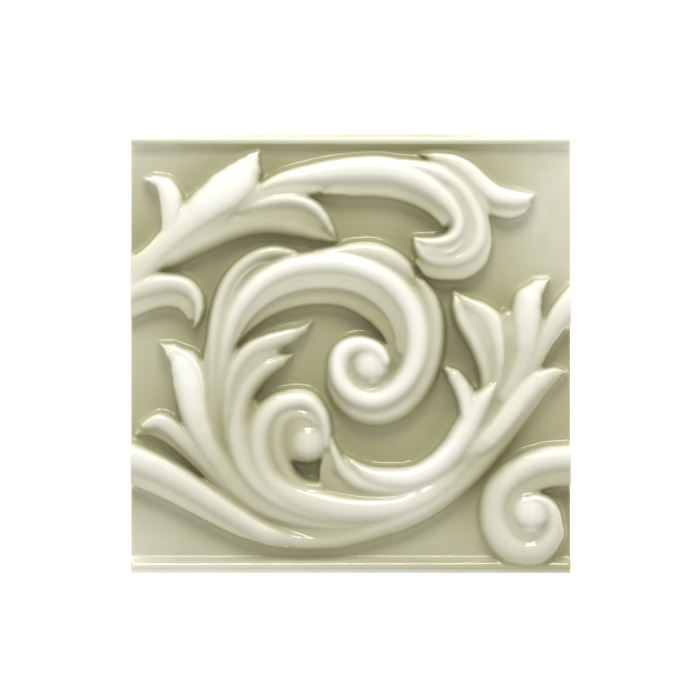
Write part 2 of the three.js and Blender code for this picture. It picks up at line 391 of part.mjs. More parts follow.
// One form: steep drafted walls under a rounded top, with its root sunk into the body.
function formGeometry(stations, name) {
  const half = halfSection(name);
  const profile = [...half, ...half.slice(0, -1).reverse().map(([side, up]) => [-side, up])];
  const sections = sectionsAlong(stations);
  const positions = [];
  const faces = [];
  const around = profile.length + 2;
  const base = groundThickness;
  for (const s of sections) {
    const nx = -Math.sin(s.heading);
    const ny = Math.cos(s.heading);
    const put = (across, z) => positions.push(s.p.x + nx * across, s.p.y + ny * across, z);
    put(s.left, base - rooting);
    for (const [side, up] of profile) {
      put(side > 0 ? side * s.left : side * s.right, base + up * s.rise * reliefScale);
    }
    put(-s.right, base - rooting);
  }
  for (let i = 0; i + 1 < sections.length; i++) {
    for (let j = 0; j < around; j++) {
      const a = i * around + j;
      const b = i * around + ((j + 1) % around);
      faces.push(a, b, b + around, a, b + around, a + around);
    }
  }
  const end = (sections.length - 1) * around;
  for (let j = 1; j + 1 < around; j++) {
    faces.push(0, j + 1, j);
    faces.push(end, end + j, end + j + 1);
  }
  const geometry = new THREE.BufferGeometry();
  geometry.setAttribute("position", new THREE.Float32BufferAttribute(positions, 3));
  geometry.setIndex(faces);
  return geometry;
}

// A round eye of a volute: half of a form's section, turned about its middle.
function eyeGeometry([x, y, radius, rise], name) {
  const dome = halfSection(name).map(([side, up]) => [side * radius, up * rise * reliefScale]);
  const outline = [[0, -rooting], [radius, -rooting], ...dome];
  const turned = new THREE.LatheGeometry(outline.map((point) => new THREE.Vector2(...point)), eyeSides);
  turned.rotateX(Math.PI / 2);
  turned.translate(x, y, groundThickness);
  return turned;
}

const wasm = await Module();
wasm.setup();

function solid(geometry) {
  const bare = new THREE.BufferGeometry();
  bare.setAttribute("position", geometry.getAttribute("position"));
  if (geometry.getIndex()) bare.setIndex(geometry.getIndex());
  const welded = mergeVertices(bare, 1e-4);
  return new wasm.Manifold(new wasm.Mesh({
    numProp: 3,
    vertProperties: Float32Array.from(welded.getAttribute("position").array),
    triVerts: Uint32Array.from(welded.getIndex().array),
  }));
}

// The scroll is one relief: all its forms joined, fitted to the tile's size, cut off
// flush with the tile's edges and joined to the body.
function fitted(geometry) {
  geometry.scale(tileWidth / drawingSide, tileHeight / drawingSide, 1);
  return geometry;
}

const forms = [
  ...Object.entries(strokes).map(([name, stations]) => solid(fitted(formGeometry(stations, name)))),
  ...Object.entries(eyes).map(([name, eye]) => solid(fitted(eyeGeometry(eye, name)))),
];
const scroll = forms.reduce((joined, form) => joined.add(form));
const limits = new THREE.BoxGeometry(tileWidth, tileHeight, 100).translate(0, 0, 50);
const whole = solid(bodyGeometry()).add(scroll.intersect(solid(limits)));

const mesh = whole.getMesh();
const tileGeometry = new THREE.BufferGeometry();
tileGeometry.setAttribute("position", new THREE.Float32BufferAttribute(mesh.vertProperties, 3));
tileGeometry.setIndex([...mesh.triVerts]);

const glaze = new THREE.MeshStandardMaterial({ color: 0xe6e6d2, roughness: 0.1, metalness: 0 });

const tile = new THREE.Mesh(tileGeometry, glaze);
tile.name = "tile";

const group = new THREE.Group();
group.add(tile);
export default group;
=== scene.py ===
# %% [markdown]
# # A porcelain relief tile
#
# The object is one square of glazed porcelain, 152 mm a side, that belongs in the border
# of a tiled wall. A leafy scroll stands up to 9 mm above a sunk ground, between two
# rounded rims, and it runs off both ends to the neighbouring tiles. Such a tile is pressed
# in a plaster mould, trimmed, fired, flooded with a runny glaze and fired again.
#
# The glaze makes the look. It is thin and pale on every crest, and it gathers in every
# hollow, where it shows its own olive colour. So this lesson shapes the clay first, then
# lets the glaze settle on it, and keeps the depth of the settled glaze for the material.
# That colour carries painted light and shade too: the deep hollows are painted darker than
# the glaze alone makes them, and the open ground, which gets the most light, is painted lighter.

import json
import math

import bpy
import numpy as np
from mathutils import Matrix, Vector

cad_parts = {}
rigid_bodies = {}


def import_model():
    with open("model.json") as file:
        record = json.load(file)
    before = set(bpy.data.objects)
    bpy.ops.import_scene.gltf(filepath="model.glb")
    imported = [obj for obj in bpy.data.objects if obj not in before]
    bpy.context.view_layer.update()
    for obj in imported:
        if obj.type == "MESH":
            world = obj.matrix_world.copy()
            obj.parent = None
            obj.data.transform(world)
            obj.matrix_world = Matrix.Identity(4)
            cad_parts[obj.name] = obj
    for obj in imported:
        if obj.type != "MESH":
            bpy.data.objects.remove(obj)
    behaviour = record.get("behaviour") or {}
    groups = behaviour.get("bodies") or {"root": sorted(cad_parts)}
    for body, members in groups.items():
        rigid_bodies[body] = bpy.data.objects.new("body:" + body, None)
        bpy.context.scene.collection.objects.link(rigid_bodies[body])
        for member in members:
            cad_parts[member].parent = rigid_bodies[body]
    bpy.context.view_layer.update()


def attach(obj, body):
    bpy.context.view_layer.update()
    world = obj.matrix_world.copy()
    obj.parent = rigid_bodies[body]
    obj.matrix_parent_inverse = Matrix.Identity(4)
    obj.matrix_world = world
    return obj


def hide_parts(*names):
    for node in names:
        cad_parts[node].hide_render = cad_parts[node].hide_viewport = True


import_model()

# %% [markdown]
# ## Sizes
#
# The tile lies on its flat back, face up. The origin is at the middle of the back, X runs
# along the rims, Y towards the top rim and Z out of the face. The side and the slab are
# those of the solid model. The rims are 1.2 mm lower here than there, since the narrow band
# of shade along the top rim asks for a low one.

# %% Sizes of the tile
MM = 0.001
SIDE = 152 * MM
GROUND = 9 * MM  # from the back to the sunk ground
RIM_WIDTH = 5.6 * MM
RIM_RISE = 3.3 * MM
EDGE_RADIUS = 0.8 * MM
CELL = 0.2 * MM  # spacing of the fine face, from which the kept one is thinned
TRIANGLES_KEPT = 180000  # of the face, about
print("cells of the fine face along a side:", round(SIDE / CELL))

# %% [markdown]
# ## The forms of the scroll
#
# A modeller builds such a relief from strokes: a strand or a leaf is laid along a line,
# wide here and narrow there, and its crest may lie nearer to one flank. Each form below is
# one stroke. A station on it says where its crest is, how far the form reaches to the left
# and to the right of the way it runs, and how high it stands above the ground, all in mm.
# The strokes could be drawn as curves by hand, but as plain numbers each one can be
# compared with the tile and corrected by itself.

# %% The strands of the lower half
STROKES = {}
STROKES["main_stem"] = [
    (-82, -33.2, 5, 7.6, 7.8), (-75, -35.5, 5, 7.2, 7.8), (-68, -38, 4.5, 7, 7.8),
    (-60, -41.9, 4, 6.8, 7.8), (-50, -48.2, 3.6, 6.3, 7.7), (-40, -54.8, 3.4, 5.6, 7.5),
    (-30, -60.8, 3.2, 4.8, 7.2), (-20, -64, 3.2, 3.8, 5.8), (-10, -65.2, 3.6, 3, 5.1),
    (0, -63.4, 4, 3.6, 5.1), (10, -60, 4, 4.2, 5.6), (20, -55.8, 6, 4.4, 6.2), (29, -51, 5.5, 4.4, 6),
    (37.5, -45, 5, 4.4, 5.8), (44.5, -38.2, 4.5, 4.4, 5.6), (50.5, -31.3, 4.5, 4.2, 5.5),
    (56, -24.5, 4.5, 4, 5.3), (61.5, -17.5, 4.5, 3.8, 5.1), (66.5, -11.5, 4, 3, 4.8),
    (71.5, -7.5, 2, 2, 4),
]
STROKES["stem_ledge"] = [
    (-82, -39.8, 4, 3.6, 5.2), (-75, -42.3, 4, 3.5, 5.2), (-68, -45.3, 4, 3.4, 5.2),
    (-60, -49.4, 4, 3.2, 5.2), (-50, -54.8, 3.6, 3, 5.2), (-40, -60, 3, 2.8, 5),
    (-30, -64, 2.4, 2.2, 4.8), (-22, -66.2, 1.5, 1.5, 4.4),
]
STROKES["lower_band"] = [
    (-8.5, -31.5, 3.5, 2.2, 6.5), (-8.6, -26, 3.8, 2.6, 7), (-10.3, -20.5, 4, 3, 7.6),
    (-14.5, -16.5, 4, 4, 8), (-20, -16, 4.2, 4.2, 8.2), (-26.1, -18.4, 4.5, 4.8, 8.2),
    (-30.3, -23.4, 5.4, 5.6, 8), (-31.8, -30, 5.6, 6, 7.9), (-31, -37.1, 5.6, 6, 7.8),
    (-27.5, -43.8, 5.2, 6.4, 7.8), (-20.5, -48.2, 5, 7.6, 7.9), (-12, -50.6, 4.8, 8.2, 8),
    (-3.5, -52.2, 4.2, 8, 8), (6, -52.8, 4, 7, 8), (15, -52, 3.8, 6.5, 8), (24, -49.2, 4, 6, 7.6),
    (32, -44.8, 4, 5.5, 6.8), (38.5, -39.5, 3.4, 4.6, 5.8), (43, -35, 2.4, 3, 4.6),
]
STROKES["lower_ring"] = [
    (-11.5, -24.6, 1.6, 2.4, 6.2), (-15.2, -21.6, 3, 2.8, 6.6), (-20, -20.9, 4.4, 3, 6.6),
    (-23.8, -23.2, 4.4, 3.4, 6.9), (-25.6, -28.5, 4.6, 3.6, 6.9), (-25.3, -34.5, 4.6, 3.6, 6.8),
    (-23, -40, 4, 3.6, 6.4), (-20.2, -43.9, 3.6, 3.5, 6.3), (-15.6, -46, 3, 2.6, 6.1),
    (-11, -46.4, 2.8, 2.4, 5.8),
]
STROKES["feather_lower"] = [
    (-20.5, -0.8, 1, 1, 4.5), (-24.5, -2.6, 3, 2.8, 6), (-29.5, -5, 4, 3.8, 6.8),
    (-34, -9, 4.5, 4, 7.2), (-37.3, -14.5, 4.5, 4.5, 7.4), (-39.3, -21.5, 5.5, 4.5, 7.6),
    (-39.9, -29, 8, 4.5, 7.8), (-38, -37, 8.5, 4.5, 7.8), (-33.8, -43.8, 8.5, 4.5, 7.6),
    (-27.5, -49.2, 8, 4.5, 7.4), (-19.5, -53, 7, 4.5, 7), (-10, -55.3, 6.5, 4.5, 6.6),
    (1, -56, 6, 4.5, 6.2), (12, -54.5, 5, 4.5, 5.8), (22, -51.5, 4.5, 4, 5.4), (31, -47, 4, 4, 5),
]
STROKES["feather_upper"] = [
    (-13.3, 11.2, 0.7, 0.7, 4), (-17, 8.6, 2.8, 1.2, 5.8), (-22.5, 6.8, 4.6, 2, 7),
    (-29, 4.8, 5.5, 2.4, 7.4), (-35, 1.6, 5.2, 2.8, 7.5), (-39.5, -4, 4.6, 3.4, 7.5),
    (-42, -11, 4, 3.6, 7.3), (-42.6, -19, 4, 3.4, 7), (-42.4, -27, 4, 3, 6.4), (-40.8, -35, 4, 3, 5.8),
    (-37, -43, 4, 3.4, 5.6), (-31, -49.5, 4, 3.6, 5.6), (-22, -54, 4, 4, 5.6),
]
STROKES["side_leaf"] = [
    (-65.8, 3.3, 0.6, 0.6, 5), (-61.3, 0.4, 3.2, 3.2, 7.4), (-57.2, -4, 6, 6, 8.2),
    (-54.8, -10.6, 6, 7, 8.5), (-53.6, -18, 5.5, 6.5, 8.4), (-51.6, -25.5, 5, 6, 8),
    (-48.6, -32.5, 4.5, 5, 7.6), (-44.6, -39, 4.5, 4.5, 7.2), (-39.6, -45.5, 4.5, 4.5, 6.8),
    (-33, -51.5, 4.5, 3.8, 6.4), (-24, -55.8, 4.5, 3.2, 5.9), (-14, -58.6, 4.4, 2.6, 5.5),
    (-4, -59.6, 4, 2.4, 5.3), (6, -58.8, 3.6, 2.4, 5),
]
STROKES["side_leaf_rim"] = [
    (-63.6, 2.2, 0.6, 0.8, 6.6), (-60, 1.2, 1.2, 2, 7.8), (-55.4, -1.4, 1.4, 3, 8.3),
    (-52.2, -6, 1.4, 3, 8.4), (-50.6, -12, 1.2, 2.6, 8), (-50, -18, 0.8, 1.6, 7),
]
STROKES["small_leaf"] = [
    (-71.4, -24.9, 1.4, 1.6, 5.6), (-69.4, -24.1, 2.2, 2.6, 6.4), (-65.8, -22.9, 2.6, 4.2, 7),
    (-61.9, -25, 3, 4.2, 7), (-58, -29, 3, 4, 6.8), (-52.5, -34.3, 3.5, 4.2, 6.6),
    (-46.5, -40.3, 3.5, 4.2, 6.4), (-40, -46.3, 3.5, 4, 6.1), (-32.5, -51.8, 3.5, 3.8, 5.8),
    (-25, -56.4, 3, 3, 4.8), (-17, -60, 2.4, 2, 4),
]
STROKES["small_ledge"] = [
    (-73.6, -27.8, 0.8, 0.8, 2), (-70.5, -26.8, 2, 1.8, 3.2), (-66, -27.4, 3, 2.4, 4),
    (-60, -31, 3, 2.6, 4.4), (-53, -37.4, 3, 2.4, 4.6), (-46.5, -43.6, 3, 2.2, 4.8),
    (-39, -50, 3, 2, 4.8), (-30, -55.8, 2, 1.6, 4.6),
]
STROKES["corner_scroll"] = [
    (82, -34.2, 7, 3.2, 8.2), (74, -34.6, 7, 3.4, 8.2), (67, -35.8, 7, 4, 8.2),
    (60.5, -38.8, 6.4, 5, 7.9), (55, -43.4, 5.6, 6, 7.5), (51.3, -49, 5.2, 6.8, 7.1),
    (50.3, -55, 5, 6.8, 6.9), (51.6, -60.6, 4.8, 7, 6.8), (55.2, -65.4, 4.6, 7.2, 6.7),
    (60.4, -67.8, 4.4, 6, 6.7), (65.6, -66.8, 4.2, 6, 6.9), (69.5, -62.8, 4, 4.6, 7.2),
    (70.4, -57.2, 4, 3, 7.5), (68.4, -52.4, 3.8, 2.8, 7.9), (64, -50.2, 3, 2.4, 8.2),
    (59.5, -51.4, 2, 2, 8),
]
STROKES["corner_ledge"] = [
    (82, -42, 4, 4, 5.4), (74, -42.2, 4, 4, 5.4), (66.5, -43.6, 3.6, 4, 5.4), (60.5, -47, 3, 4, 5.6),
    (57, -52, 2.6, 4, 5.8), (56, -57.5, 2.6, 3.6, 5.8), (58, -62, 2.4, 3, 5.8),
]
print("strokes so far:", len(STROKES))

# %% The great scroll in the middle and its lobes
STROKES["outer_lobe"] = [
    (-16.6, 33, 1.2, 1.2, 5.5), (-21, 34.6, 2.4, 2.2, 6.4), (-27, 35.2, 2.9, 2.6, 6.9),
    (-33, 33.4, 3.1, 2.8, 7), (-38.5, 29.4, 3.2, 2.9, 7), (-42.5, 24, 3.4, 3, 7),
    (-45.2, 17.2, 3.6, 3, 7), (-46.8, 9.5, 4, 3, 7), (-47.6, 1, 4, 3, 6.9), (-48, -8, 4, 3, 6.7),
    (-47.9, -17, 4, 3, 6.3), (-47.3, -27, 4, 3, 5.7), (-45, -36, 4, 3, 5.2), (-40, -44.5, 4, 3, 5),
    (-33, -51, 4, 3, 5), (-24, -55.5, 4, 3, 5),
]
STROKES["lobe_dish"] = [
    (-22, 32, 3.5, 3.5, 4), (-28, 30.6, 4.5, 4.5, 4.2), (-34.5, 27.4, 4.5, 4.5, 4.3),
    (-39.5, 21.6, 4.5, 4.5, 4.6), (-43.2, 13, 4, 4, 5.4), (-45.2, 4, 3.5, 3.5, 6.2),
]
STROKES["dish_fold"] = [
    (-28.6, 31.6, 0.7, 0.7, 5.2), (-32.4, 30.2, 1.2, 1.4, 5.7), (-36.6, 27, 1.4, 1.8, 6),
    (-40, 22, 1.4, 2, 6), (-42.6, 15.5, 1.4, 2, 6.2), (-44.4, 8, 1.2, 1.8, 6.3),
]
STROKES["great_scroll"] = [
    (-45.4, -24, 2.4, 2.6, 5.4), (-45.3, -13, 3.2, 3.8, 6.5), (-44.3, -2, 3.6, 4.5, 7.1),
    (-42.7, 6, 3.8, 4.6, 7.5), (-40.2, 13, 4, 4.8, 7.9), (-36, 19.7, 4.2, 5, 8.3),
    (-29.8, 25.6, 4.4, 5.2, 8.6), (-21, 29.8, 4.4, 5.4, 8.8), (-10, 31.6, 4.4, 5.6, 9),
    (0, 30.8, 4.5, 5.6, 9), (9, 27.5, 5, 5.6, 9), (16, 22.3, 5.4, 5.6, 9), (21, 15.2, 5.6, 5.6, 9),
    (23.2, 7, 5.6, 5.8, 9), (22.8, -1, 5.4, 6, 8.8), (19.8, -8.2, 5, 5.6, 8.6),
    (14.4, -13.6, 4.8, 5, 8.5), (7.8, -16, 4.6, 4.6, 8.5), (1.2, -14.4, 4.4, 4.8, 8.4),
    (-3.3, -9.8, 4.2, 5, 8.4), (-4.7, -4, 3.8, 5.5, 8.5), (-3, 1, 3.6, 5.5, 8.7), (1.5, 3.6, 3, 5, 8.9),
    (6.5, 3.2, 2.8, 5, 9.1), (10.3, 0.8, 2.8, 4.5, 9.2), (12, -2.4, 2.6, 4, 9),
]
STROKES["scroll_ledge"] = [
    (-43.5, 0, 3, 2.6, 5.8), (-40, 7.6, 4, 3, 6), (-35.6, 14.4, 4.4, 3.4, 6.3),
    (-28.4, 20.4, 4.6, 3.6, 6.6), (-19.5, 24.2, 4.8, 3.8, 6.8), (-9.5, 25.4, 4.8, 3.8, 6.9),
    (0, 24.4, 4.8, 3.8, 6.9), (8, 20.6, 4.8, 3.6, 6.8), (14, 14.8, 4.6, 3.4, 6.6), (17, 8, 4.4, 3, 6.4),
    (18, 1.2, 4, 2.8, 6),
]
STROKES["inner_ledge"] = [
    (-41.5, 2.4, 2, 1.6, 3.6), (-37.4, 8, 3.6, 2.4, 4.2), (-32, 13.4, 4, 3.2, 4.5),
    (-25.4, 17.2, 4.2, 3.6, 4.7), (-17.6, 19.4, 4.2, 3.6, 4.8), (-9.6, 20.1, 4.2, 3.7, 4.8),
    (-2, 19.3, 4.2, 3.8, 4.8), (4.6, 16.2, 4.2, 3.8, 4.8), (9.8, 11.6, 4, 3.2, 4.8),
    (13.2, 6.6, 3.6, 2.6, 4.8), (15, 1.4, 3, 2.2, 4.6), (15.4, -3, 2, 2, 4.4),
]
STROKES["right_strand"] = [
    (22.3, 26, 1.2, 2, 5), (25, 23.3, 2.2, 4, 6.2), (28, 18, 3, 5, 6.8), (29.6, 11, 3.2, 5.5, 6.9),
    (29.6, 4, 3.2, 5.5, 6.8), (28.4, -3, 3.2, 5, 6.4), (25.8, -9.6, 3.4, 5, 6),
    (21.6, -15.6, 3.6, 5, 5.6), (15.8, -20, 3.8, 5, 5.8), (9, -21.8, 3.8, 5, 5.8),
    (2.4, -20.6, 3.6, 4.4, 5.6), (-3, -17, 3, 4, 4.8), (-6.4, -12, 2.2, 3.4, 4.4),
    (-7.6, -6.4, 1.4, 2.6, 4),
]
STROKES["crown_lobe"] = [
    (-12, 34.2, 2, 3, 6.7), (-5, 35, 2.4, 4, 7.2), (2, 36, 2.9, 5, 7.5), (8, 35.8, 3.1, 5.5, 7.5),
    (14, 33.6, 3.2, 6, 7.4), (18.3, 30.4, 3, 5.5, 7.1), (20.8, 27, 2.1, 4, 6.2), (21.8, 24.5, 1, 2, 5),
]
print("strokes so far:", len(STROKES))

# %% The leaves on the right
STROKES["calyx_lobe"] = [
    (-2, -35.2, 0.8, 1, 4.5), (0.8, -37.9, 2, 3, 6.5), (6, -41.2, 3, 5, 7.8), (13, -42.6, 3.7, 6, 8.4),
    (21, -42, 3.6, 6.4, 8.6), (28, -38.7, 3.8, 6.6, 8.6), (34, -33.5, 4.2, 6.6, 8.5),
    (38.8, -27.4, 5, 6.5, 8.4), (42.2, -21.8, 5, 5.5, 8.3), (44.8, -17.2, 4.8, 4.8, 8.3),
    (47, -14.2, 3.6, 3.8, 8.3), (48.8, -12, 2.2, 2.6, 8), (49.8, -10.9, 1.2, 1.4, 7.4),
]
STROKES["calyx_foot"] = [
    (-6.8, -30, 1.6, 1.6, 6), (-5.4, -35, 2.6, 2.6, 6.8), (-2.5, -40.3, 3.6, 3.6, 7.1),
    (2.5, -44.3, 4, 4, 7.3), (9.5, -46.4, 4, 3.8, 7.2), (18, -46.6, 4, 3.8, 6.8), (26, -44, 4, 4, 6.5),
    (33, -39, 4, 4, 6.3),
]
STROKES["calyx_left_leaf"] = [
    (33.2, -5.4, 1.6, 1.6, 5.6), (36, -8, 3, 3.2, 7.2), (38.3, -12, 3.6, 3.4, 7.7),
    (40, -17, 3.6, 3.4, 8), (40.8, -23, 3.6, 3.4, 8.2),
]
STROKES["tall_leaf_left"] = [
    (35.6, 20.8, 1, 1, 5), (36.8, 16, 3.6, 2.4, 6.6), (38.8, 10.5, 4.8, 2.8, 7.1),
    (42.2, 5, 4.8, 3, 7.2), (45, -1, 4.2, 3, 7), (46.8, -7, 4, 3, 6.6), (47.3, -13, 3.5, 3, 6),
]
STROKES["tall_leaf_right"] = [
    (36.1, 21, 0.9, 0.9, 5), (40.5, 18, 2, 4.5, 6.8), (46, 15.2, 2.7, 6.5, 7.6), (50, 11.2, 3.3, 7, 8),
    (51.4, 5.3, 2.9, 5.5, 8), (51.9, -1, 2.6, 4.5, 7.6), (51.4, -8, 2.6, 4, 6.8), (50, -15, 3, 4, 5.6),
]
STROKES["pointed_leaf"] = [
    (68.2, 25.4, 0.6, 0.6, 5), (65.4, 22.4, 2, 4, 6.8), (62.6, 17.8, 4, 6.8, 7.8),
    (61.4, 11.5, 5.4, 6.8, 8), (61, 5, 5.2, 6.2, 7.8), (59.8, -2, 5, 4.8, 7.2), (57, -8.5, 4.5, 4, 7),
    (53.5, -15, 4, 4, 6.8),
]
STROKES["edge_leaf"] = [
    (82, 25.5, 8, 3.6, 7.6), (76, 19.5, 7.5, 3.4, 7.6), (71.4, 14, 6.5, 3.2, 7.5),
    (68.4, 8.5, 5, 2.8, 7.2), (65.8, 3, 4, 2.6, 6.9), (62.8, -3, 3.5, 3, 6.6),
    (58.8, -9, 3.5, 3.5, 6.4), (54.5, -15.5, 3.5, 3.5, 6.2),
]
STROKES["low_leaf"] = [
    (74, -6.4, 0.8, 0.8, 4.8), (70, -6.6, 2.4, 2.4, 6.8), (64.8, -9.2, 3.8, 3.6, 7.6),
    (60, -13.6, 4.4, 4.6, 7.9), (55.8, -19, 4.8, 4.6, 8), (51.4, -24.8, 4.8, 4.4, 8),
    (47.6, -29.2, 4.6, 4.6, 7.8), (44.4, -31.9, 4.2, 4.2, 7.3), (41.4, -34, 3.4, 3.4, 6.6),
]
print("strokes so far:", len(STROKES))

# %% The leaves and scrolls along the top
STROKES["broad_leaf"] = [
    (-82, 21, 8, 7, 7), (-74, 28.5, 5, 6.5, 7.2), (-68, 35, 3.6, 6, 7.4), (-62, 40.8, 4, 6.4, 7.6),
    (-55.5, 46.5, 5.5, 6.8, 8), (-49, 51.3, 7, 7.2, 8.5), (-43, 55.6, 8, 8, 8.8),
    (-38.3, 60, 7, 8.2, 8.7), (-35.2, 64, 5.2, 5.2, 8.2), (-33.4, 67.2, 3, 2.6, 7.4),
    (-32, 69.3, 1, 1, 5.6),
]
STROKES["curled_leaf"] = [
    (-63.5, 37, 3, 3, 7), (-62, 43, 4, 4, 7.4), (-61.3, 48.5, 4.8, 3.8, 7.7),
    (-61.8, 53.3, 4.8, 4.3, 7.8), (-63.8, 57.2, 4, 3.8, 7.6), (-67.2, 59.4, 2, 2.2, 6.8),
    (-70.8, 60.1, 0.8, 0.8, 5),
]
STROKES["claw_body"] = [
    (-68, 30.6, 3, 3, 6), (-60, 34.6, 5, 4.4, 6.4), (-50, 39.6, 6, 4.8, 6.4),
    (-40, 43.4, 6.2, 4.6, 6.3), (-31, 45.2, 6, 4.6, 6.1), (-22, 44.4, 5.4, 4.2, 5.7),
    (-14, 41.8, 4, 3, 5.2), (-8, 39.7, 2.4, 1.8, 4.4), (-5, 38.6, 1, 0.8, 3.4),
]
STROKES["claw_ridge"] = [
    (-42, 47.4, 1, 1.2, 4), (-37, 49.8, 2.4, 3, 6.4), (-30.5, 52, 2.6, 3.8, 7.5),
    (-24.5, 53.2, 2.6, 3.4, 7.9), (-18.5, 53, 2.6, 3.2, 7.9), (-13.2, 51, 2.5, 3, 7.6),
    (-9.5, 47.4, 2.4, 2.8, 7), (-7, 43, 2, 2, 6), (-5, 39.2, 0.9, 0.9, 4),
]
STROKES["claw_floor"] = [
    (-33.6, 47.8, 3.6, 3.6, 5.9), (-28, 48.8, 4.4, 4.4, 5.7), (-19, 48.6, 4.6, 4.6, 5.2),
    (-11.5, 44.6, 3.4, 3.6, 4.6),
]
STROKES["long_scroll"] = [
    (-32.5, 55.4, 2, 2, 6.6), (-28.6, 58, 2.4, 3, 7.6), (-23, 60.2, 3, 4.2, 8),
    (-16, 61.8, 3.4, 5.4, 8.2), (-7, 63.6, 3.6, 6.6, 8.5), (2, 64.6, 3.8, 7.2, 8.7),
    (11, 64.6, 4, 7.2, 8.7), (19, 62.8, 4.2, 7, 8.6), (26, 59.4, 4.2, 6.4, 8.5),
    (31.5, 55.2, 3.8, 5.6, 8.4), (35.6, 50.3, 3.4, 4.6, 8.3), (37.6, 45.5, 3.2, 4, 8.2),
    (36.6, 41.4, 3.2, 3.4, 8.1), (32.8, 38.9, 3, 2.8, 8), (27.5, 38.4, 3, 2.2, 7.8),
    (22.6, 39.4, 2, 1.2, 7),
]
STROKES["long_ledge"] = [
    (-9.6, 55.3, 0.8, 0.8, 5), (-5, 56.4, 3, 2.2, 5.6), (1, 57.2, 4, 3.5, 5.2), (9, 57.3, 4, 3.7, 5.2),
    (17, 56.1, 4, 3.7, 5.2), (24, 53.4, 4, 3.4, 5.2), (29.4, 49.6, 4, 3, 5.3),
    (32.6, 45.4, 3.6, 2.2, 5.6),
]
STROKES["hook_rim"] = [
    (18, 65.2, 2.5, 4, 8), (26, 63.8, 3, 4, 8), (33, 61, 3.5, 4, 8), (38.6, 56.6, 3.8, 4, 7.9),
    (42.2, 51, 3.8, 4, 7.9), (44.4, 45.4, 3.6, 4, 7.8), (44.6, 40, 3.6, 4, 7.6),
    (42.8, 35.8, 3.6, 4, 7.2), (39.2, 33, 3.6, 4, 7), (34.4, 31.8, 3.6, 4, 6.9),
    (29.6, 32, 3.4, 4, 6.9), (25.8, 33.8, 3, 3.6, 7), (23.4, 36.6, 2, 2.6, 7),
    (22, 39.6, 1, 1.5, 6.4),
]
STROKES["hook_ledge"] = [
    (23.6, 31.6, 1.8, 2, 4.6), (27.6, 28.8, 3, 3.2, 5.2), (33, 27.8, 4, 3, 5.4),
    (39, 28.6, 4, 3.4, 5.4), (43.8, 32, 4, 3.4, 5.4), (46, 37, 4, 3, 5.6), (46, 42.5, 4, 2.8, 5.8),
    (45.2, 48, 3, 2.6, 6),
]
STROKES["hook_floor"] = [
    (26.5, 36.4, 3, 3, 7.1), (31, 35.4, 4.4, 4.4, 6.6), (37, 37.6, 5, 5, 6.3), (40.6, 43, 4, 4, 6.5),
    (39.8, 50, 3.5, 3.5, 6.8), (35, 57, 3, 3, 7),
]
STROKES["hook_bead"] = [
    (31.8, 34.4, 1.8, 1.6, 7), (34.6, 34.9, 2.2, 1.8, 7.3), (37.2, 36.8, 1.8, 1.6, 7.2),
    (38.4, 39.4, 0.8, 0.8, 6.7),
]
STROKES["top_leaf"] = [
    (24.6, 68.6, 0.7, 0.7, 4.5), (30, 67.6, 2, 2.8, 6.6), (36, 66.2, 2.6, 3.8, 7.4),
    (41, 63.2, 3, 4.4, 7.7), (45.5, 59, 3, 4.8, 7.8), (50, 55.4, 3.2, 4.6, 7.9),
    (55, 53.8, 3, 3.6, 7.9), (59.4, 53.6, 2.4, 2.8, 7.5), (62.4, 54.4, 1, 1.4, 6),
]
STROKES["top_ledge"] = [
    (45.4, 52.4, 1.6, 1.6, 4), (49.2, 49.8, 3, 2.6, 4.9), (54.4, 48.9, 3, 2.8, 5.1),
    (58.8, 49.8, 2.6, 2.4, 4.9), (61.2, 51.6, 1.4, 1.4, 4.2),
]
STROKES["left_hook"] = [
    (-82, 19.4, 4.4, 5.4, 7.2), (-74, 22.6, 4.4, 5.4, 7.3), (-67, 24.6, 3.6, 5.4, 7.4),
    (-61, 25, 2.9, 5, 7.5), (-56.3, 23.6, 2.9, 4.4, 7.5), (-53.4, 20.2, 2.9, 3.6, 7.3),
    (-52.3, 16, 2.4, 2.6, 6.8), (-52.8, 12, 1.7, 2, 6), (-54, 9, 0.8, 0.9, 4.5),
]
STROKES["left_ledge"] = [
    (-82, 12.4, 5, 3.6, 5), (-74, 16, 5, 3.4, 5), (-67.5, 18.2, 4, 3.2, 5), (-61.4, 18.6, 3.4, 3, 5),
    (-57.4, 16.6, 2.8, 2.6, 5), (-55.4, 12.6, 1.6, 1.6, 4.4),
]
print("strokes in all:", len(STROKES))

# %% [markdown]
# ## The clay between the forms
#
# Where strands run side by side, the modeller doesn't cut down to the ground between them:
# they stand on a shared bed, and only shallow valleys part them. Clay also fills the corner
# where two forms meet. The beds are strokes as well, lower than the forms they carry, so
# they show only in the valleys.

# %% The beds
STROKES["bundle_bed"] = [
    (-45.5, 9, 3, 4, 5.8), (-46.5, -4, 4.4, 5, 6), (-46.8, -18, 5, 5, 5.4), (-44.5, -32, 6, 6, 4.6),
    (-38, -44, 6, 4.5, 4.6), (-27, -54, 6, 4.4, 4.6), (-14, -57.4, 6, 4, 4.6), (0, -58.6, 6, 5, 4.8),
    (14, -56.6, 6, 6, 5), (26, -51, 6, 6, 5), (36, -43.5, 6, 6, 5), (43, -35.5, 6, 6, 5),
]
STROKES["groove_bed"] = [
    (-50, -44.5, 2, 2, 3), (-40, -51.4, 2.4, 2.4, 3.2), (-28, -58.6, 2.6, 2.6, 3.4),
    (-20, -61.2, 2.8, 2.8, 4), (-12, -62.4, 3, 3, 4.5), (0, -61.8, 3, 3, 4.7), (8, -60.4, 3, 3, 4.8),
]
STROKES["band_bed"] = [
    (-36.6, -20.4, 3, 3, 5), (-34.4, -17.2, 2.6, 2.6, 4.2),
]
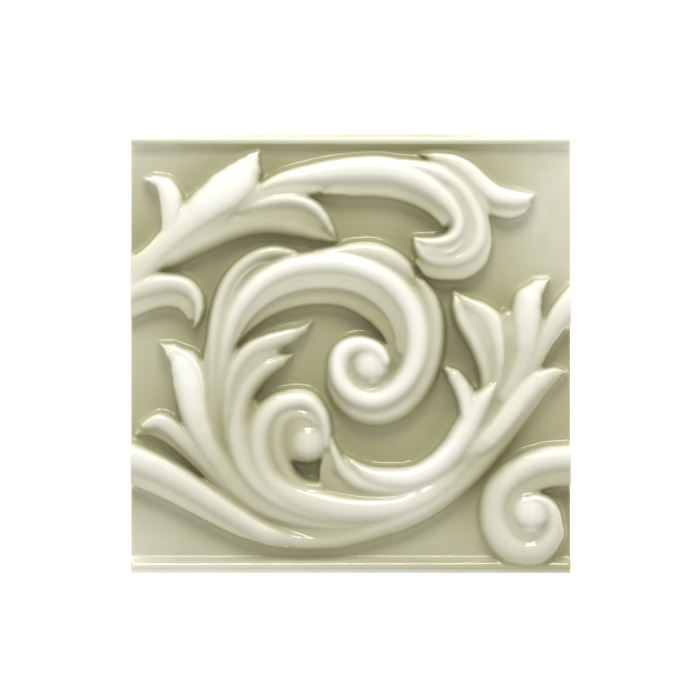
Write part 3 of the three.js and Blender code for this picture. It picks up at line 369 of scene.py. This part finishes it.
STROKES["feather_bed"] = [
    (-24, 2, 1.2, 1.2, 3.6), (-27.5, 0.6, 2.6, 2.6, 5.4), (-32.5, -2.2, 3.4, 3.4, 6.2),
    (-37.2, -7.6, 3.4, 3.4, 6.4), (-40, -15, 3.4, 3.4, 6.5), (-41, -24, 3.4, 3.4, 6.5),
]
STROKES["calyx_bed"] = [
    (54.8, 12.4, 3, 3, 5.2), (55.3, 7, 3.8, 3.8, 6.4), (55.6, 0, 4.4, 4.4, 5.8), (54, -8, 5, 5, 5.8),
    (51, -16, 5, 5, 5), (47, -24.5, 5, 5, 5.4), (40, -34, 6, 6, 6),
]
STROKES["tall_leaf_bed"] = [
    (38.8, 16.4, 2.6, 2.6, 5.4), (43.2, 10.6, 4.4, 4.4, 6.5), (47, 3, 4.4, 4.4, 6.4),
    (48.6, -6, 4, 4, 5.8),
]
STROKES["calyx_web_bed"] = [
    (41.2, -12, 1.4, 1.4, 5.6), (41.8, -16.4, 2.2, 2.2, 7), (41.4, -22, 3, 3, 7.4),
]
STROKES["edge_leaf_bed"] = [
    (70.6, 12.4, 2, 2, 2.4), (68.2, 8.6, 3, 3, 5), (65.4, 3.4, 4, 4, 5.8), (62, -3.4, 4.4, 4.4, 5.8),
    (57, -11, 5, 5, 5.6),
]
STROKES["claw_bed"] = [
    (-68, 33, 5, 5, 6.4), (-58, 40.2, 5.4, 5.4, 6.4), (-48, 45.6, 5.4, 4.4, 6.2),
    (-39.6, 51.4, 4, 2.6, 6.4), (-31, 54.6, 4, 3.6, 6.9), (-22, 57, 4, 3.8, 6.8),
    (-14, 58, 3.4, 3.6, 6.2), (-7, 58.8, 3, 3, 5),
]
STROKES["hook_bed"] = [
    (28, 64.4, 2, 2, 6), (35, 61.6, 4.4, 4.4, 6.6), (41, 56.4, 4.6, 4.6, 6.6), (44.6, 49.6, 4, 4, 6.4),
]
STROKES["calyx_foot_bed"] = [
    (-7.6, -36, 2.6, 2.4, 5.2), (-8.6, -40.5, 3, 2.6, 5), (-7.6, -44.4, 3.2, 3, 5),
    (-1.5, -46.8, 3.2, 3.4, 4.8), (4, -48.2, 3.4, 3.4, 5.2), (11, -48.6, 3.6, 3.6, 5.6),
    (20, -46.8, 4, 4, 5.8),
]
print("strokes with the beds:", len(STROKES))

# %% [markdown]
# ## The eyes
#
# Each volute winds round an eye, a round dome of clay on a raised floor. A dome needs no
# path: it is a short stroke whose two stations lie close together, with rounded ends. The
# floor under it is a flatter and wider one.

# %% The three eyes
EYES = {
    "lower_eye": (-14.9, -31, 7.3, 7.7), "lower_floor": (-17, -29, 9, 6),
    "great_eye": (7.2, -4, 7, 8.8), "great_floor": (6.6, -6, 9.2, 6),
    "great_bead": (7.6, -9.4, 3, 7.2),
    "corner_eye": (62.2, -54.6, 7.6, 8.6), "corner_floor": (61, -57.5, 9.4, 6),
    "corner_bead": (62, -60.6, 4, 7),
}
for name, (x, y, radius, rise) in EYES.items():
    STROKES[name] = [(x - 0.2, y, radius, radius, rise), (x + 0.2, y, radius, radius, rise)]
    print(name, "is", 2 * radius, "mm across")

# %% [markdown]
# ## Smooth lines through the stations
#
# A stroke's stations are joined by a smooth line that passes through every one of them.
# Blender's own curves could do it, but their handles don't carry the reach and the rise,
# so the line is worked out here, as a Catmull-Rom spline, and each of its points keeps its
# numbers as attributes. At both ends the reach closes in a half circle, so that no form
# ends in a cut. A fourth number says how square the form is: strands are round on top,
# leaves are a little flatter, and ledges, floors and beds are flat.

# %% Lay the lines
def smooth_line(stations, spacing=0.8):
    """Points of a smooth line through the stations, each with all the station's numbers."""
    s = np.array(stations, float)
    s = np.vstack([2 * s[0] - s[1], s, 2 * s[-1] - s[-2]])
    out = []
    for a, b, c, d in zip(s[:-3], s[1:-2], s[2:-1], s[3:]):
        count = max(2, int(np.hypot(*(c - b)[:2]) / spacing))
        for t in np.arange(count)[:, None] / count:
            curve = 0.5 * (2 * b + (c - a) * t + (2 * a - 5 * b + 4 * c - d) * t * t
                           + (3 * b - a - 3 * c + d) * t ** 3)
            eased = b + (c - b) * t * t * (3 - 2 * t)
            out.append(np.concatenate([curve[:2], eased[2:]]))
    out.append(s[-2])
    return np.array(out)


def rounded_ends(line):
    """Adds a half circle to both ends of the line."""
    def cap(end, inner):
        way = (end[:2] - inner[:2]) / np.hypot(*(end[:2] - inner[:2]))
        radius = min(end[2], end[3])
        made = []
        for out in (0.4, 0.7, 0.88, 0.97, 1.0):
            shrink = math.sqrt(max(1 - out * out, 0.0004))
            place = end[:2] + way * radius * out
            made.append([*place, end[2] * shrink, end[3] * shrink, end[4] * (0.35 + 0.65 * shrink)])
        return np.array(made)
    return np.vstack([cap(line[0], line[1])[::-1], line, cap(line[-1], line[-2])])


# By the last word of a form's name, and the last one for every other form
SQUARENESS = {"leaf": 2.7, "eye": 2.5, "ledge": 4.5, "floor": 4.5, "dish": 4.5, "bed": 4.5}
ROUND = 2.1
points, edges, numbers = [], [], []
for name, stations in STROKES.items():
    line = rounded_ends(smooth_line(stations))
    square = SQUARENESS.get(name.split("_")[-1], ROUND)
    first = len(points)
    points += [(x * MM, y * MM, 0) for x, y in line[:, :2]]
    numbers += [(left * MM, right * MM, rise * MM, square) for left, right, rise in line[:, 2:]]
    edges += [(i, i + 1) for i in range(first, len(points) - 1)]

lines_mesh = bpy.data.meshes.new("stroke_lines")
lines_mesh.from_pydata(points, edges, [])
for k, name in enumerate(("left", "right", "rise", "squareness")):
    layer = lines_mesh.attributes.new(name, "FLOAT", "POINT")
    layer.data.foreach_set("value", [n[k] for n in numbers])
lines = bpy.data.objects.new("stroke_lines", lines_mesh)
bpy.context.collection.objects.link(lines)
print("points on all lines:", len(points))

# %% [markdown]
# ## The section of a form
#
# Cut across, a strand or a leaf is a half ellipse, and a ledge is a half ellipse with
# squarer shoulders. One rule draws both. With x from -1 to 1 across the form, its height is
# (1 - |x|^n)^(1/n), where n is 2 for an ellipse and larger for a squarer form. The section
# below holds only the places across, close together near the flanks, where the wall is
# steep. The tree works out the heights.

# %% Draw the section
FLANK = [1.0, 0.997, 0.985, 0.965, 0.935, 0.89, 0.83, 0.75, 0.65, 0.53, 0.4, 0.27, 0.13]
section_points = FLANK + [0] + [-x for x in reversed(FLANK)]
section_mesh = bpy.data.meshes.new("section")
section_mesh.from_pydata([(x, 0, 0) for x in section_points],
                         [(i, i + 1) for i in range(len(section_points) - 1)], [])
section = bpy.data.objects.new("section", section_mesh)
bpy.context.collection.objects.link(section)
print("points across a form:", len(section_points))

# %% [markdown]
# ## From strokes to a glazed face
#
# The face follows a rule, so Geometry Nodes make it. The tree sweeps the section along
# every stroke, and then drapes a fine grid over all of them, as a sheet of clay is pressed
# over a model: a ray falls on each point of the grid, and where it meets a form, the point
# rises to it. Joining the swept forms with booleans would give the same outline, but the
# creases between them would stay sharp and their meshes ragged, while a grid can be
# softened evenly. It is softened three times: once as clay that can't hold a sharp edge,
# then as the glaze that fills a crease, and over a wider reach as the glaze that runs down
# a wall and stays at its foot. Only the hollows are filled, so the crests keep their form.

# %% A helper for the tree
def join(tree, kind, inputs=(), **settings):
    """Adds a node, sets its properties and fills its inputs with values or links."""
    node = tree.nodes.new(kind)
    for key, value in settings.items():
        setattr(node, key, value)
    for key, value in dict(inputs).items():
        if isinstance(value, bpy.types.NodeSocket):
            tree.links.new(value, node.inputs[key])
        else:
            node.inputs[key].default_value = value
    return node


def math_node(tree, operation, a, b=0.0, c=0.0):
    """One sum on numbers."""
    return join(tree, "ShaderNodeMath", {0: a, 1: b, 2: c}, operation=operation).outputs[0]


# %% The inputs of the tree
tree = bpy.data.node_groups.new("tile_face", "GeometryNodeTree")
tree.is_modifier = True
face = tree.interface
face.new_socket("Geometry", in_out="INPUT", socket_type="NodeSocketGeometry")
named = {}
for name, kind, value in (
    ("Section", "NodeSocketObject", None),
    ("Glaze", "NodeSocketMaterial", None),
    ("Side", "NodeSocketFloat", SIDE),
    ("Ground", "NodeSocketFloat", GROUND),
    ("Rim Width", "NodeSocketFloat", RIM_WIDTH),
    ("Rim Rise", "NodeSocketFloat", RIM_RISE),
    ("Cells", "NodeSocketInt", round(SIDE / CELL)),
    ("Clay Softness", "NodeSocketInt", 7),
    ("Crease Softness", "NodeSocketInt", 20),
    ("Crease Fill", "NodeSocketFloat", 0.5),
    ("Pool Softness", "NodeSocketInt", 200),
    ("Pool Fill", "NodeSocketFloat", 0.22),
    ("Edge Radius", "NodeSocketFloat", EDGE_RADIUS),
):
    named[name] = face.new_socket(name, in_out="INPUT", socket_type=kind)
    if value is not None:
        named[name].default_value = value
face.new_socket("Geometry", in_out="OUTPUT", socket_type="NodeSocketGeometry")
start = tree.nodes.new("NodeGroupInput")
print("named inputs:", ", ".join(named))

# %% Sweep the section along the strokes
curves = join(tree, "GeometryNodeMeshToCurve", {"Mesh": start.outputs["Geometry"]})
place = tree.nodes.new("GeometryNodeInputPosition").outputs[0]
tangent = tree.nodes.new("GeometryNodeInputTangent").outputs[0]
side_way = join(tree, "ShaderNodeVectorMath", {0: (0, 0, 1), 1: tangent}, operation="CROSS_PRODUCT")


def capture(geometry, kind, value):
    """Keeps a value with every point, so that it rides along through the sweep."""
    node = tree.nodes.new("GeometryNodeCaptureAttribute")
    node.capture_items.new(kind, "Value")
    tree.links.new(geometry, node.inputs[0])
    tree.links.new(value, node.inputs[1])
    return node.outputs[0], node.outputs[1]


with_crest, crest = capture(curves.outputs[0], "VECTOR", place)
with_side, side = capture(with_crest, "VECTOR", side_way.outputs[0])
section_info = join(tree, "GeometryNodeObjectInfo", {"Object": start.outputs["Section"]})
profile = join(tree, "GeometryNodeMeshToCurve", {"Mesh": section_info.outputs["Geometry"]})
profile_geometry, share = capture(profile.outputs[0], "VECTOR", place)
swept = join(tree, "GeometryNodeCurveToMesh", {"Curve": with_side, "Profile Curve": profile_geometry})


def number(name):
    """Reads one of the numbers that the strokes carry."""
    return join(tree, "GeometryNodeInputNamedAttribute", {"Name": name}, data_type="FLOAT").outputs[0]


across = join(tree, "ShaderNodeSeparateXYZ", {0: share}).outputs[0]
square = number("squareness")
from_crest = math_node(tree, "POWER", math_node(tree, "ABSOLUTE", across), square)
under = math_node(tree, "MAXIMUM", math_node(tree, "SUBTRACT", 1.0, from_crest), 0.0)
up = math_node(tree, "POWER", under, math_node(tree, "DIVIDE", 1.0, square))
is_left = math_node(tree, "GREATER_THAN", across)
reach = join(tree, "ShaderNodeMix", {0: is_left, 2: number("right"), 3: number("left")}).outputs[0]
outward = join(tree, "ShaderNodeVectorMath",
               {0: side, "Scale": math_node(tree, "MULTIPLY", across, reach)}, operation="SCALE")
height = math_node(tree, "MULTIPLY", up, number("rise"))
lifted = join(tree, "ShaderNodeCombineXYZ", {2: height})
on_flank = join(tree, "ShaderNodeVectorMath", {0: crest, 1: outward.outputs[0]}, operation="ADD")
new_place = join(tree, "ShaderNodeVectorMath", {0: on_flank.outputs[0], 1: lifted.outputs[0]},
                 operation="ADD")
forms = join(tree, "GeometryNodeSetPosition",
             {"Geometry": swept.outputs[0], "Position": new_place.outputs[0]})
print("nodes after the sweep:", len(tree.nodes))

# %% Drape the grid over the forms
side_count = math_node(tree, "ADD", start.outputs["Cells"], 1)
grid = join(tree, "GeometryNodeMeshGrid", {
    "Size X": start.outputs["Side"], "Size Y": start.outputs["Side"],
    "Vertices X": side_count, "Vertices Y": side_count})
from_above = join(tree, "ShaderNodeVectorMath", {0: place, 1: (0, 0, 0.05)}, operation="ADD")
ray = join(tree, "GeometryNodeRaycast", {
    "Target Geometry": forms.outputs[0], "Source Position": from_above.outputs[0],
    "Ray Direction": (0, 0, -1), "Ray Length": 0.05})
hit_height = join(tree, "ShaderNodeSeparateXYZ", {0: ray.outputs["Hit Position"]}).outputs[2]
relief = math_node(tree, "MULTIPLY", hit_height, ray.outputs["Is Hit"])
print("nodes after the drape:", len(tree.nodes))

# %% Add the two rims
# A rim is a low arch, and its crest lies a little nearer to the tile's edge than to the ground.
x_place, y_place, _ = join(tree, "ShaderNodeSeparateXYZ", {0: place}).outputs
half_side = math_node(tree, "MULTIPLY", start.outputs["Side"], 0.5)
from_edge = math_node(tree, "SUBTRACT", half_side, math_node(tree, "ABSOLUTE", y_place))
crest_line = math_node(tree, "MULTIPLY", start.outputs["Rim Width"], 0.4)
off_crest = math_node(tree, "SUBTRACT", from_edge, crest_line)
inner_part = math_node(tree, "SUBTRACT", start.outputs["Rim Width"], crest_line)
is_inner = math_node(tree, "GREATER_THAN", off_crest)
part = join(tree, "ShaderNodeMix", {0: is_inner, 2: crest_line, 3: inner_part}).outputs[0]
off_share = math_node(tree, "DIVIDE", math_node(tree, "ABSOLUTE", off_crest), part)
under_circle = math_node(tree, "SUBTRACT", 1.0, math_node(tree, "POWER", off_share, 2.0))
rim_round = math_node(tree, "POWER", math_node(tree, "MAXIMUM", under_circle, 0.0), 1.0)
rim_height = math_node(tree, "MULTIPLY", rim_round, start.outputs["Rim Rise"])
bare = math_node(tree, "MAXIMUM", math_node(tree, "MAXIMUM", relief, rim_height), 0.0)
print("nodes after the rims:", len(tree.nodes))

# %% Soften the clay and settle the glaze
def softened(geometry, value, passes):
    """The value after so many passes of smoothing, kept with every point."""
    soft = join(tree, "GeometryNodeBlurAttribute", {0: value, "Iterations": passes}, data_type="FLOAT")
    return capture(geometry, "FLOAT", soft.outputs[0])


def filling(level, clay, share):
    """How much glaze lies in the hollows, where the smoothed level is above the clay."""
    depth = math_node(tree, "MAXIMUM", math_node(tree, "SUBTRACT", level, clay), 0.0)
    return math_node(tree, "MULTIPLY", depth, share)


clay_grid, clay = softened(grid.outputs[0], bare, start.outputs["Clay Softness"])
near_grid, near = softened(clay_grid, clay, start.outputs["Crease Softness"])
wide_grid, wide = softened(near_grid, near, start.outputs["Pool Softness"])
glazed = math_node(tree, "ADD", clay, filling(near, clay, start.outputs["Crease Fill"]))
glazed = math_node(tree, "ADD", glazed, filling(wide, clay, start.outputs["Pool Fill"]))
level = math_node(tree, "ADD", glazed, start.outputs["Ground"])
print("nodes after the glaze:", len(tree.nodes))

# %% Round the outer edges and raise the grid
from_side = math_node(tree, "SUBTRACT", half_side, math_node(tree, "ABSOLUTE", x_place))
nearest = math_node(tree, "MINIMUM", from_side, from_edge)
radius = start.outputs["Edge Radius"]
inward = math_node(tree, "MAXIMUM", math_node(tree, "SUBTRACT", radius, nearest), 0.0)
squares = math_node(tree, "SUBTRACT", math_node(tree, "MULTIPLY", radius, radius),
                    math_node(tree, "MULTIPLY", inward, inward))
arc = math_node(tree, "SQRT", math_node(tree, "MAXIMUM", squares, 0.0))
drop = math_node(tree, "SUBTRACT", radius, arc)
final_place = join(tree, "ShaderNodeCombineXYZ", {2: math_node(tree, "SUBTRACT", level, drop)})
raised = join(tree, "GeometryNodeSetPosition",
              {"Geometry": wide_grid, "Offset": final_place.outputs[0]})
print("nodes after the edges:", len(tree.nodes))

# %% Finish the tree
real = join(tree, "GeometryNodeRealizeInstances", {0: raised.outputs[0]})
painted = join(tree, "GeometryNodeSetMaterial",
               {"Geometry": real.outputs[0], "Material": start.outputs["Glaze"]})
end = tree.nodes.new("NodeGroupOutput")
tree.links.new(painted.outputs[0], end.inputs[0])
print("nodes in all:", len(tree.nodes))

# %% [markdown]
# ## The glaze
#
# A celadon-like glaze is a slightly tinted glass over a white body. Where it lies thin
# the body shines through, nearly white, and where it has run together it is olive. The
# attribute `glaze_depth_and_shade`, made further down from the shape, drives that colour;
# its darkest olive in the deep pockets is pooled glaze with painted shade on top. A
# photograph would bring the shine of its own lamps with it. Faint clouds, a few specks and
# a slow ripple are the faults that every such glaze has.
# The tile stands on its back in the kiln, so the back and the lower part of the sides are
# wiped clean before the firing. There the bare, grainy body shows, with a ragged edge where
# the glaze has run over.

# %% Make the glaze
glaze = bpy.data.materials.new("celadon_glaze")
glaze.use_nodes = True
g = glaze.node_tree
shader = g.nodes["Principled BSDF"]
shader.inputs["IOR"].default_value = 1.52
where = join(g, "ShaderNodeTexCoord").outputs["Object"]
# the glaze's depth, darkened further in deep hollows as painted shade and lightened on open ground as
# painted light
depth_and_shade = join(g, "ShaderNodeAttribute", attribute_name="glaze_depth_and_shade").outputs["Fac"]
depth_and_shade_share = join(g, "ShaderNodeMapRange", {0: depth_and_shade, 1: -0.005, 2: 0.003}).outputs[0]
clouds = join(g, "ShaderNodeTexNoise", {"Vector": where, "Scale": 60.0, "Detail": 3.0}).outputs[0]
cloudy = join(g, "ShaderNodeMath", {0: clouds, 1: 0.12, 2: -0.06}, operation="MULTIPLY_ADD").outputs[0]
tinted = join(g, "ShaderNodeMath", {0: depth_and_shade_share, 1: cloudy}, operation="ADD").outputs[0]
ramp = join(g, "ShaderNodeValToRGB", {0: tinted})
stops = ramp.color_ramp.elements
# from pale thin glaze to olive pooled glaze; the last, darkest stops are painted shade for the deep
# pockets
stops[0].position, stops[0].color = 0.0, (0.85, 0.845, 0.775, 1)
stops[1].position, stops[1].color = 1.0, (0.2, 0.19, 0.105, 1)
for position, colour in (
    (0.125, (0.77, 0.765, 0.67, 1)), (0.25, (0.71, 0.701, 0.585, 1)),
    (0.375, (0.625, 0.617, 0.49, 1)), (0.5, (0.535, 0.526, 0.383, 1)),
    (0.625, (0.458, 0.447, 0.283, 1)), (0.75, (0.385, 0.373, 0.2, 1)),
    (0.875, (0.28, 0.268, 0.142, 1)),
):
    stops.new(position).color = colour
shader.inputs["Subsurface Weight"].default_value = 0.35
shader.inputs["Subsurface Radius"].default_value = (1.0, 0.95, 0.75)
shader.inputs["Subsurface Scale"].default_value = 2.5 * MM
print("glaze nodes:", len(g.nodes))

# %% Add its faults
cells_of = join(g, "ShaderNodeTexVoronoi", {"Vector": where, "Scale": 75.0})
speck = join(g, "ShaderNodeMapRange", {0: cells_of.outputs["Distance"], 1: 0.012, 2: 0.024, 3: 1, 4: 0})
chance = join(g, "ShaderNodeSeparateColor", {0: cells_of.outputs["Color"]}).outputs[0]
is_rare = join(g, "ShaderNodeMath", {0: chance, 1: 0.7}, operation="GREATER_THAN").outputs[0]
speck_share = join(g, "ShaderNodeMath", {0: speck.outputs[0], 1: is_rare}, operation="MULTIPLY")
specked = join(g, "ShaderNodeMix", {0: speck_share.outputs[0], 6: ramp.outputs[0],
                                    7: (0.2, 0.17, 0.12, 1)}, data_type="RGBA")
ripple = join(g, "ShaderNodeTexNoise", {"Vector": where, "Scale": 170.0, "Detail": 1.5}).outputs[0]
wavy = join(g, "ShaderNodeBump", {"Strength": 1.0, "Distance": 0.09 * MM, "Height": ripple})
g.links.new(wavy.outputs[0], shader.inputs["Normal"])
print("with its faults:", len(g.nodes))

# %% Leave the sides and the back bare
height_here = join(g, "ShaderNodeSeparateXYZ", {0: where}).outputs[2]
edge_noise = join(g, "ShaderNodeTexNoise", {"Vector": where, "Scale": 240.0, "Detail": 4.0}).outputs[0]
run = join(g, "ShaderNodeMath", {0: edge_noise, 1: 0.005, 2: height_here}, operation="MULTIPLY_ADD")
bare_share = join(g, "ShaderNodeMapRange", {0: run.outputs[0], 1: 0.0088, 2: 0.0091, 3: 1, 4: 0})
grain = join(g, "ShaderNodeTexNoise", {"Vector": where, "Scale": 900.0, "Detail": 6.0}).outputs[0]
biscuit = join(g, "ShaderNodeMix", {0: grain, 6: (0.6, 0.57, 0.5, 1), 7: (0.74, 0.71, 0.65, 1)},
               data_type="RGBA")
colour = join(g, "ShaderNodeMix", {0: bare_share.outputs[0], 6: specked.outputs[2],
                                   7: biscuit.outputs[2]}, data_type="RGBA")
g.links.new(colour.outputs[2], shader.inputs["Base Color"])
gloss = join(g, "ShaderNodeMapRange", {0: bare_share.outputs[0], 3: 0.09, 4: 0.8})
g.links.new(gloss.outputs[0], shader.inputs["Roughness"])
print("with the bare body:", len(g.nodes))

# %% Run the tree
face_maker = lines.modifiers.new("tile_face", "NODES")
face_maker.node_group = tree
face_maker[named["Section"].identifier] = section
face_maker[named["Glaze"].identifier] = glaze
evaluated = lines.evaluated_get(bpy.context.evaluated_depsgraph_get())
face_mesh = bpy.data.meshes.new_from_object(evaluated, preserve_all_data_layers=True,
                                            depsgraph=bpy.context.evaluated_depsgraph_get())
lines.modifiers.remove(face_maker)
count = len(face_mesh.vertices)
fine = np.empty(count * 3)
face_mesh.vertices.foreach_get("co", fine)
fine = fine.reshape(-1, 3)
print("fine face:", count, "points, up to", round(fine[:, 2].max() / MM, 2), "mm over the back")

# %% [markdown]
# ## Thin the face and close the tile
#
# The fine grid has over a million triangles, far more than its flat ground needs. Decimate
# takes them out where the face is flat and leaves them on the walls. The shading keeps the
# fine face's smoothness all the same, because each point that is left gets the direction
# that the fine face has there.
#
# The glaze runs off whatever stands above its surroundings and gathers in what lies below
# them. So its thickness is taken from how far a point lies under the level of the face
# round it, as a soft brush of 12 mm sees it, and in enclosed hollows that number also
# darkens the colour as painted shade. On the crests and the rims the glaze lies thinner
# than that rule says, and the open ground, which gets more light than the ledges, is
# painted lighter.

# %% Thin it
face_object = bpy.data.objects.new("porcelain_tile", face_mesh)
bpy.context.collection.objects.link(face_object)
thin = face_object.modifiers.new("thin", "DECIMATE")
thin.ratio = TRIANGLES_KEPT / (2 * len(face_mesh.polygons))
thinned = bpy.data.meshes.new_from_object(
    face_object.evaluated_get(bpy.context.evaluated_depsgraph_get()))
face_object.modifiers.remove(thin)
print("thinned face:", len(thinned.polygons), "faces")

# %% Close the sides and the back
import bmesh

half = SIDE / 2
work = bmesh.new()
work.from_mesh(thinned)
for v in work.verts:
    for axis in (0, 1):
        if abs(v.co[axis]) > half - 0.02 * MM:
            v.co[axis] = math.copysign(half, v.co[axis])
rim_edges = [e for e in work.edges if e.is_boundary]
walls = bmesh.ops.extrude_edge_only(work, edges=rim_edges)
low_verts = [v for v in walls["geom"] if isinstance(v, bmesh.types.BMVert)]
low_edges = [e for e in walls["geom"] if isinstance(e, bmesh.types.BMEdge)]
for v in low_verts:
    v.co.z = 0
bmesh.ops.contextual_create(work, geom=[e for e in low_edges if e.is_boundary])
bmesh.ops.triangulate(work, faces=[f for f in work.faces if len(f.verts) > 4])
bmesh.ops.recalc_face_normals(work, faces=work.faces[:])
print("open edges left:", sum(e.is_boundary for e in work.edges))
tile_mesh = bpy.data.meshes.new("porcelain_tile")
work.to_mesh(tile_mesh)
work.free()

# %% Give it the fine face's shading
cells = round(SIDE / CELL)
order = np.lexsort((fine[:, 1], fine[:, 0]))
z_grid = fine[order, 2].reshape(cells + 1, cells + 1)
slope_x, slope_y = np.gradient(z_grid, SIDE / cells)


def blurred(grid_values, radius):
    """The grid as it looks through a soft round brush."""
    margin = round(3 * radius / CELL)
    wide = np.pad(grid_values, margin, mode="reflect")
    steps = np.fft.fftfreq(wide.shape[0], CELL)
    falloff = np.exp(-2 * (np.pi * radius * steps) ** 2)
    soft = np.fft.ifft2(np.fft.fft2(wide) * falloff[:, None] * falloff[None, :]).real
    return soft[margin:-margin, margin:-margin]


BRUSH = 12 * MM  # how far round a point its surroundings reach
# how much lighter than its hollow says: painted light on open ground, thin glaze on crests and rims
GROUND_PAINTED_LIGHTER = 2.95 * MM
THINNER_CREST = 1.1 * MM
THINNER_RIM = 0.8 * MM
height = z_grid - GROUND
open_ground = np.clip((3 * MM - height) / (2.2 * MM), 0, 1)
crest = np.clip((height - 7 * MM) / (1.5 * MM), 0, 1)
from_middle = np.abs(np.linspace(-half, half, cells + 1))
on_rim = np.clip((from_middle - 72.5 * MM) / (1.5 * MM), 0, 1)
# the glaze's depth; it also darkens enclosed hollows as painted shade, and the ground term lightens
# open ground as painted light
hollow = blurred(z_grid, BRUSH) - z_grid
depth_and_shade_grid = hollow - GROUND_PAINTED_LIGHTER * open_ground - THINNER_CREST * crest - THINNER_RIM * on_rim
print("thickness scale from", round(depth_and_shade_grid.min() / MM, 2), "mm up")


def sample(grid_values, xy):
    """Reads a grid between its points."""
    place = np.clip((xy / SIDE + 0.5) * cells, 0, cells - 1e-6)
    i = place.astype(int)
    f = place - i
    a, b = grid_values[i[:, 0], i[:, 1]], grid_values[i[:, 0] + 1, i[:, 1]]
    c, d = grid_values[i[:, 0], i[:, 1] + 1], grid_values[i[:, 0] + 1, i[:, 1] + 1]
    near = a * (1 - f[:, 0]) + b * f[:, 0]
    far = c * (1 - f[:, 0]) + d * f[:, 0]
    return near * (1 - f[:, 1]) + far * f[:, 1]


co = np.empty(len(tile_mesh.vertices) * 3)
tile_mesh.vertices.foreach_get("co", co)
co = co.reshape(-1, 3)
sx, sy = sample(slope_x, co[:, :2]), sample(slope_y, co[:, :2])
smooth = np.stack([-sx, -sy, np.ones(len(sx))], axis=1)
smooth /= np.linalg.norm(smooth, axis=1, keepdims=True)
corner_vertex = np.empty(len(tile_mesh.loops), int)
tile_mesh.loops.foreach_get("vertex_index", corner_vertex)
face_normal = np.empty(len(tile_mesh.polygons) * 3)
tile_mesh.polygons.foreach_get("normal", face_normal)
face_normal = face_normal.reshape(-1, 3)
starts = np.empty(len(tile_mesh.polygons), int)
totals = np.empty(len(tile_mesh.polygons), int)
tile_mesh.polygons.foreach_get("loop_start", starts)
tile_mesh.polygons.foreach_get("loop_total", totals)
face_of = np.repeat(np.arange(len(starts)), totals)
at_edge = np.array([np.abs(co[tile_mesh.polygons[k].vertices, :2]).max(axis=1).min() > half - 0.01 * MM
                    or co[tile_mesh.polygons[k].vertices, 2].max() < 0.001 * MM
                    for k in range(len(starts))])
flat = at_edge[face_of]
normals = np.where(flat[:, None], face_normal[face_of], smooth[corner_vertex])
tile_mesh.polygons.foreach_set("use_smooth", np.ones(len(starts), bool))
tile_mesh.normals_split_custom_set(normals)
# the colour field: pooled glaze, with painted shade in the hollows and painted light on open ground
layer = tile_mesh.attributes.new("glaze_depth_and_shade", "FLOAT", "POINT")
layer.data.foreach_set("value", sample(depth_and_shade_grid, co[:, :2]))
tile_mesh.materials.clear()
tile_mesh.materials.append(glaze)
face_object.data = tile_mesh
tile = face_object
for spare in (lines, section):
    bpy.data.objects.remove(spare)
print("the tile has", sum(totals - 2), "triangles")

# %% Put it in the tile's place
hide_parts("tile")
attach(tile, "root")

# %% [markdown]
# ## The studio
#
# The tile lies on a plain white table and the camera looks straight down on it through a
# long lens. A wide soft lamp stands beyond the top rim, and a low strip behind it. They draw
# the bright lines on the upper edges and leave the lower walls in soft shade, which is what
# makes a relief read. The room is brighter on the near side, so that the shade stays open.

# %% The table
floor_mesh = bpy.data.meshes.new("table_top")
floor_mesh.from_pydata([(-3, -3, 0), (3, -3, 0), (3, 3, 0), (-3, 3, 0)], [], [(0, 1, 2, 3)])
floor = bpy.data.objects.new("table_top", floor_mesh)
bpy.context.collection.objects.link(floor)
paper = bpy.data.materials.new("white_paper")
paper.use_nodes = True
paper_inputs = paper.node_tree.nodes["Principled BSDF"].inputs
paper_inputs["Base Color"].default_value = (0.93, 0.93, 0.93, 1)
paper_inputs["Roughness"].default_value = 0.9
paper_inputs["Emission Color"].default_value = (1, 1, 1, 1)
paper_inputs["Emission Strength"].default_value = 0.5
floor_mesh.materials.append(paper)
print("table is 6 m wide")

# %% The lamps
def soft_lamp(name, place, size_x, size_y, power):
    """A soft lamp that faces the tile."""
    light = bpy.data.lights.new(name, "AREA")
    light.shape = "RECTANGLE"
    light.size, light.size_y, light.energy = size_x, size_y, power
    lamp = bpy.data.objects.new(name, light)
    lamp.location = place
    lamp.rotation_euler = (-Vector(place)).to_track_quat("-Z", "Y").to_euler()
    bpy.context.collection.objects.link(lamp)
    return lamp


soft_lamp("soft_box", (0.0, 0.95, 0.74), 0.6, 0.44, 8.9)
soft_lamp("low_strip", (0.0, 1.19, 0.17), 1.2, 0.05, 4.7)
world = bpy.data.worlds.new("studio")
bpy.context.scene.world = world
world.use_nodes = True
w = world.node_tree
direction = join(w, "ShaderNodeTexCoord").outputs["Generated"]
sky_way = join(w, "ShaderNodeSeparateXYZ", {0: direction}).outputs[1]
sky = join(w, "ShaderNodeMapRange", {0: sky_way, 1: -0.9, 2: 0.9, 3: 0.96, 4: 0.53}).outputs[0]
w.links.new(sky, w.nodes["Background"].inputs["Strength"])
w.nodes["Background"].inputs["Color"].default_value = (1, 1, 1, 1)
bpy.context.scene.view_settings.view_transform = "Standard"

# %% The camera
VIEW_WIDTH = 241.7 * MM  # what the picture takes in, from left to right
DISTANCE = 1.6
camera_data = bpy.data.cameras.new("camera")
camera_data.sensor_width = 36
camera_data.lens = 36 * DISTANCE / VIEW_WIDTH
camera = bpy.data.objects.new("camera", camera_data)
camera.location = (-0.24 * MM, 1.14 * MM, DISTANCE + 0.012)
bpy.context.collection.objects.link(camera)
bpy.context.scene.camera = camera
print("lens", round(camera_data.lens, 1), "mm")
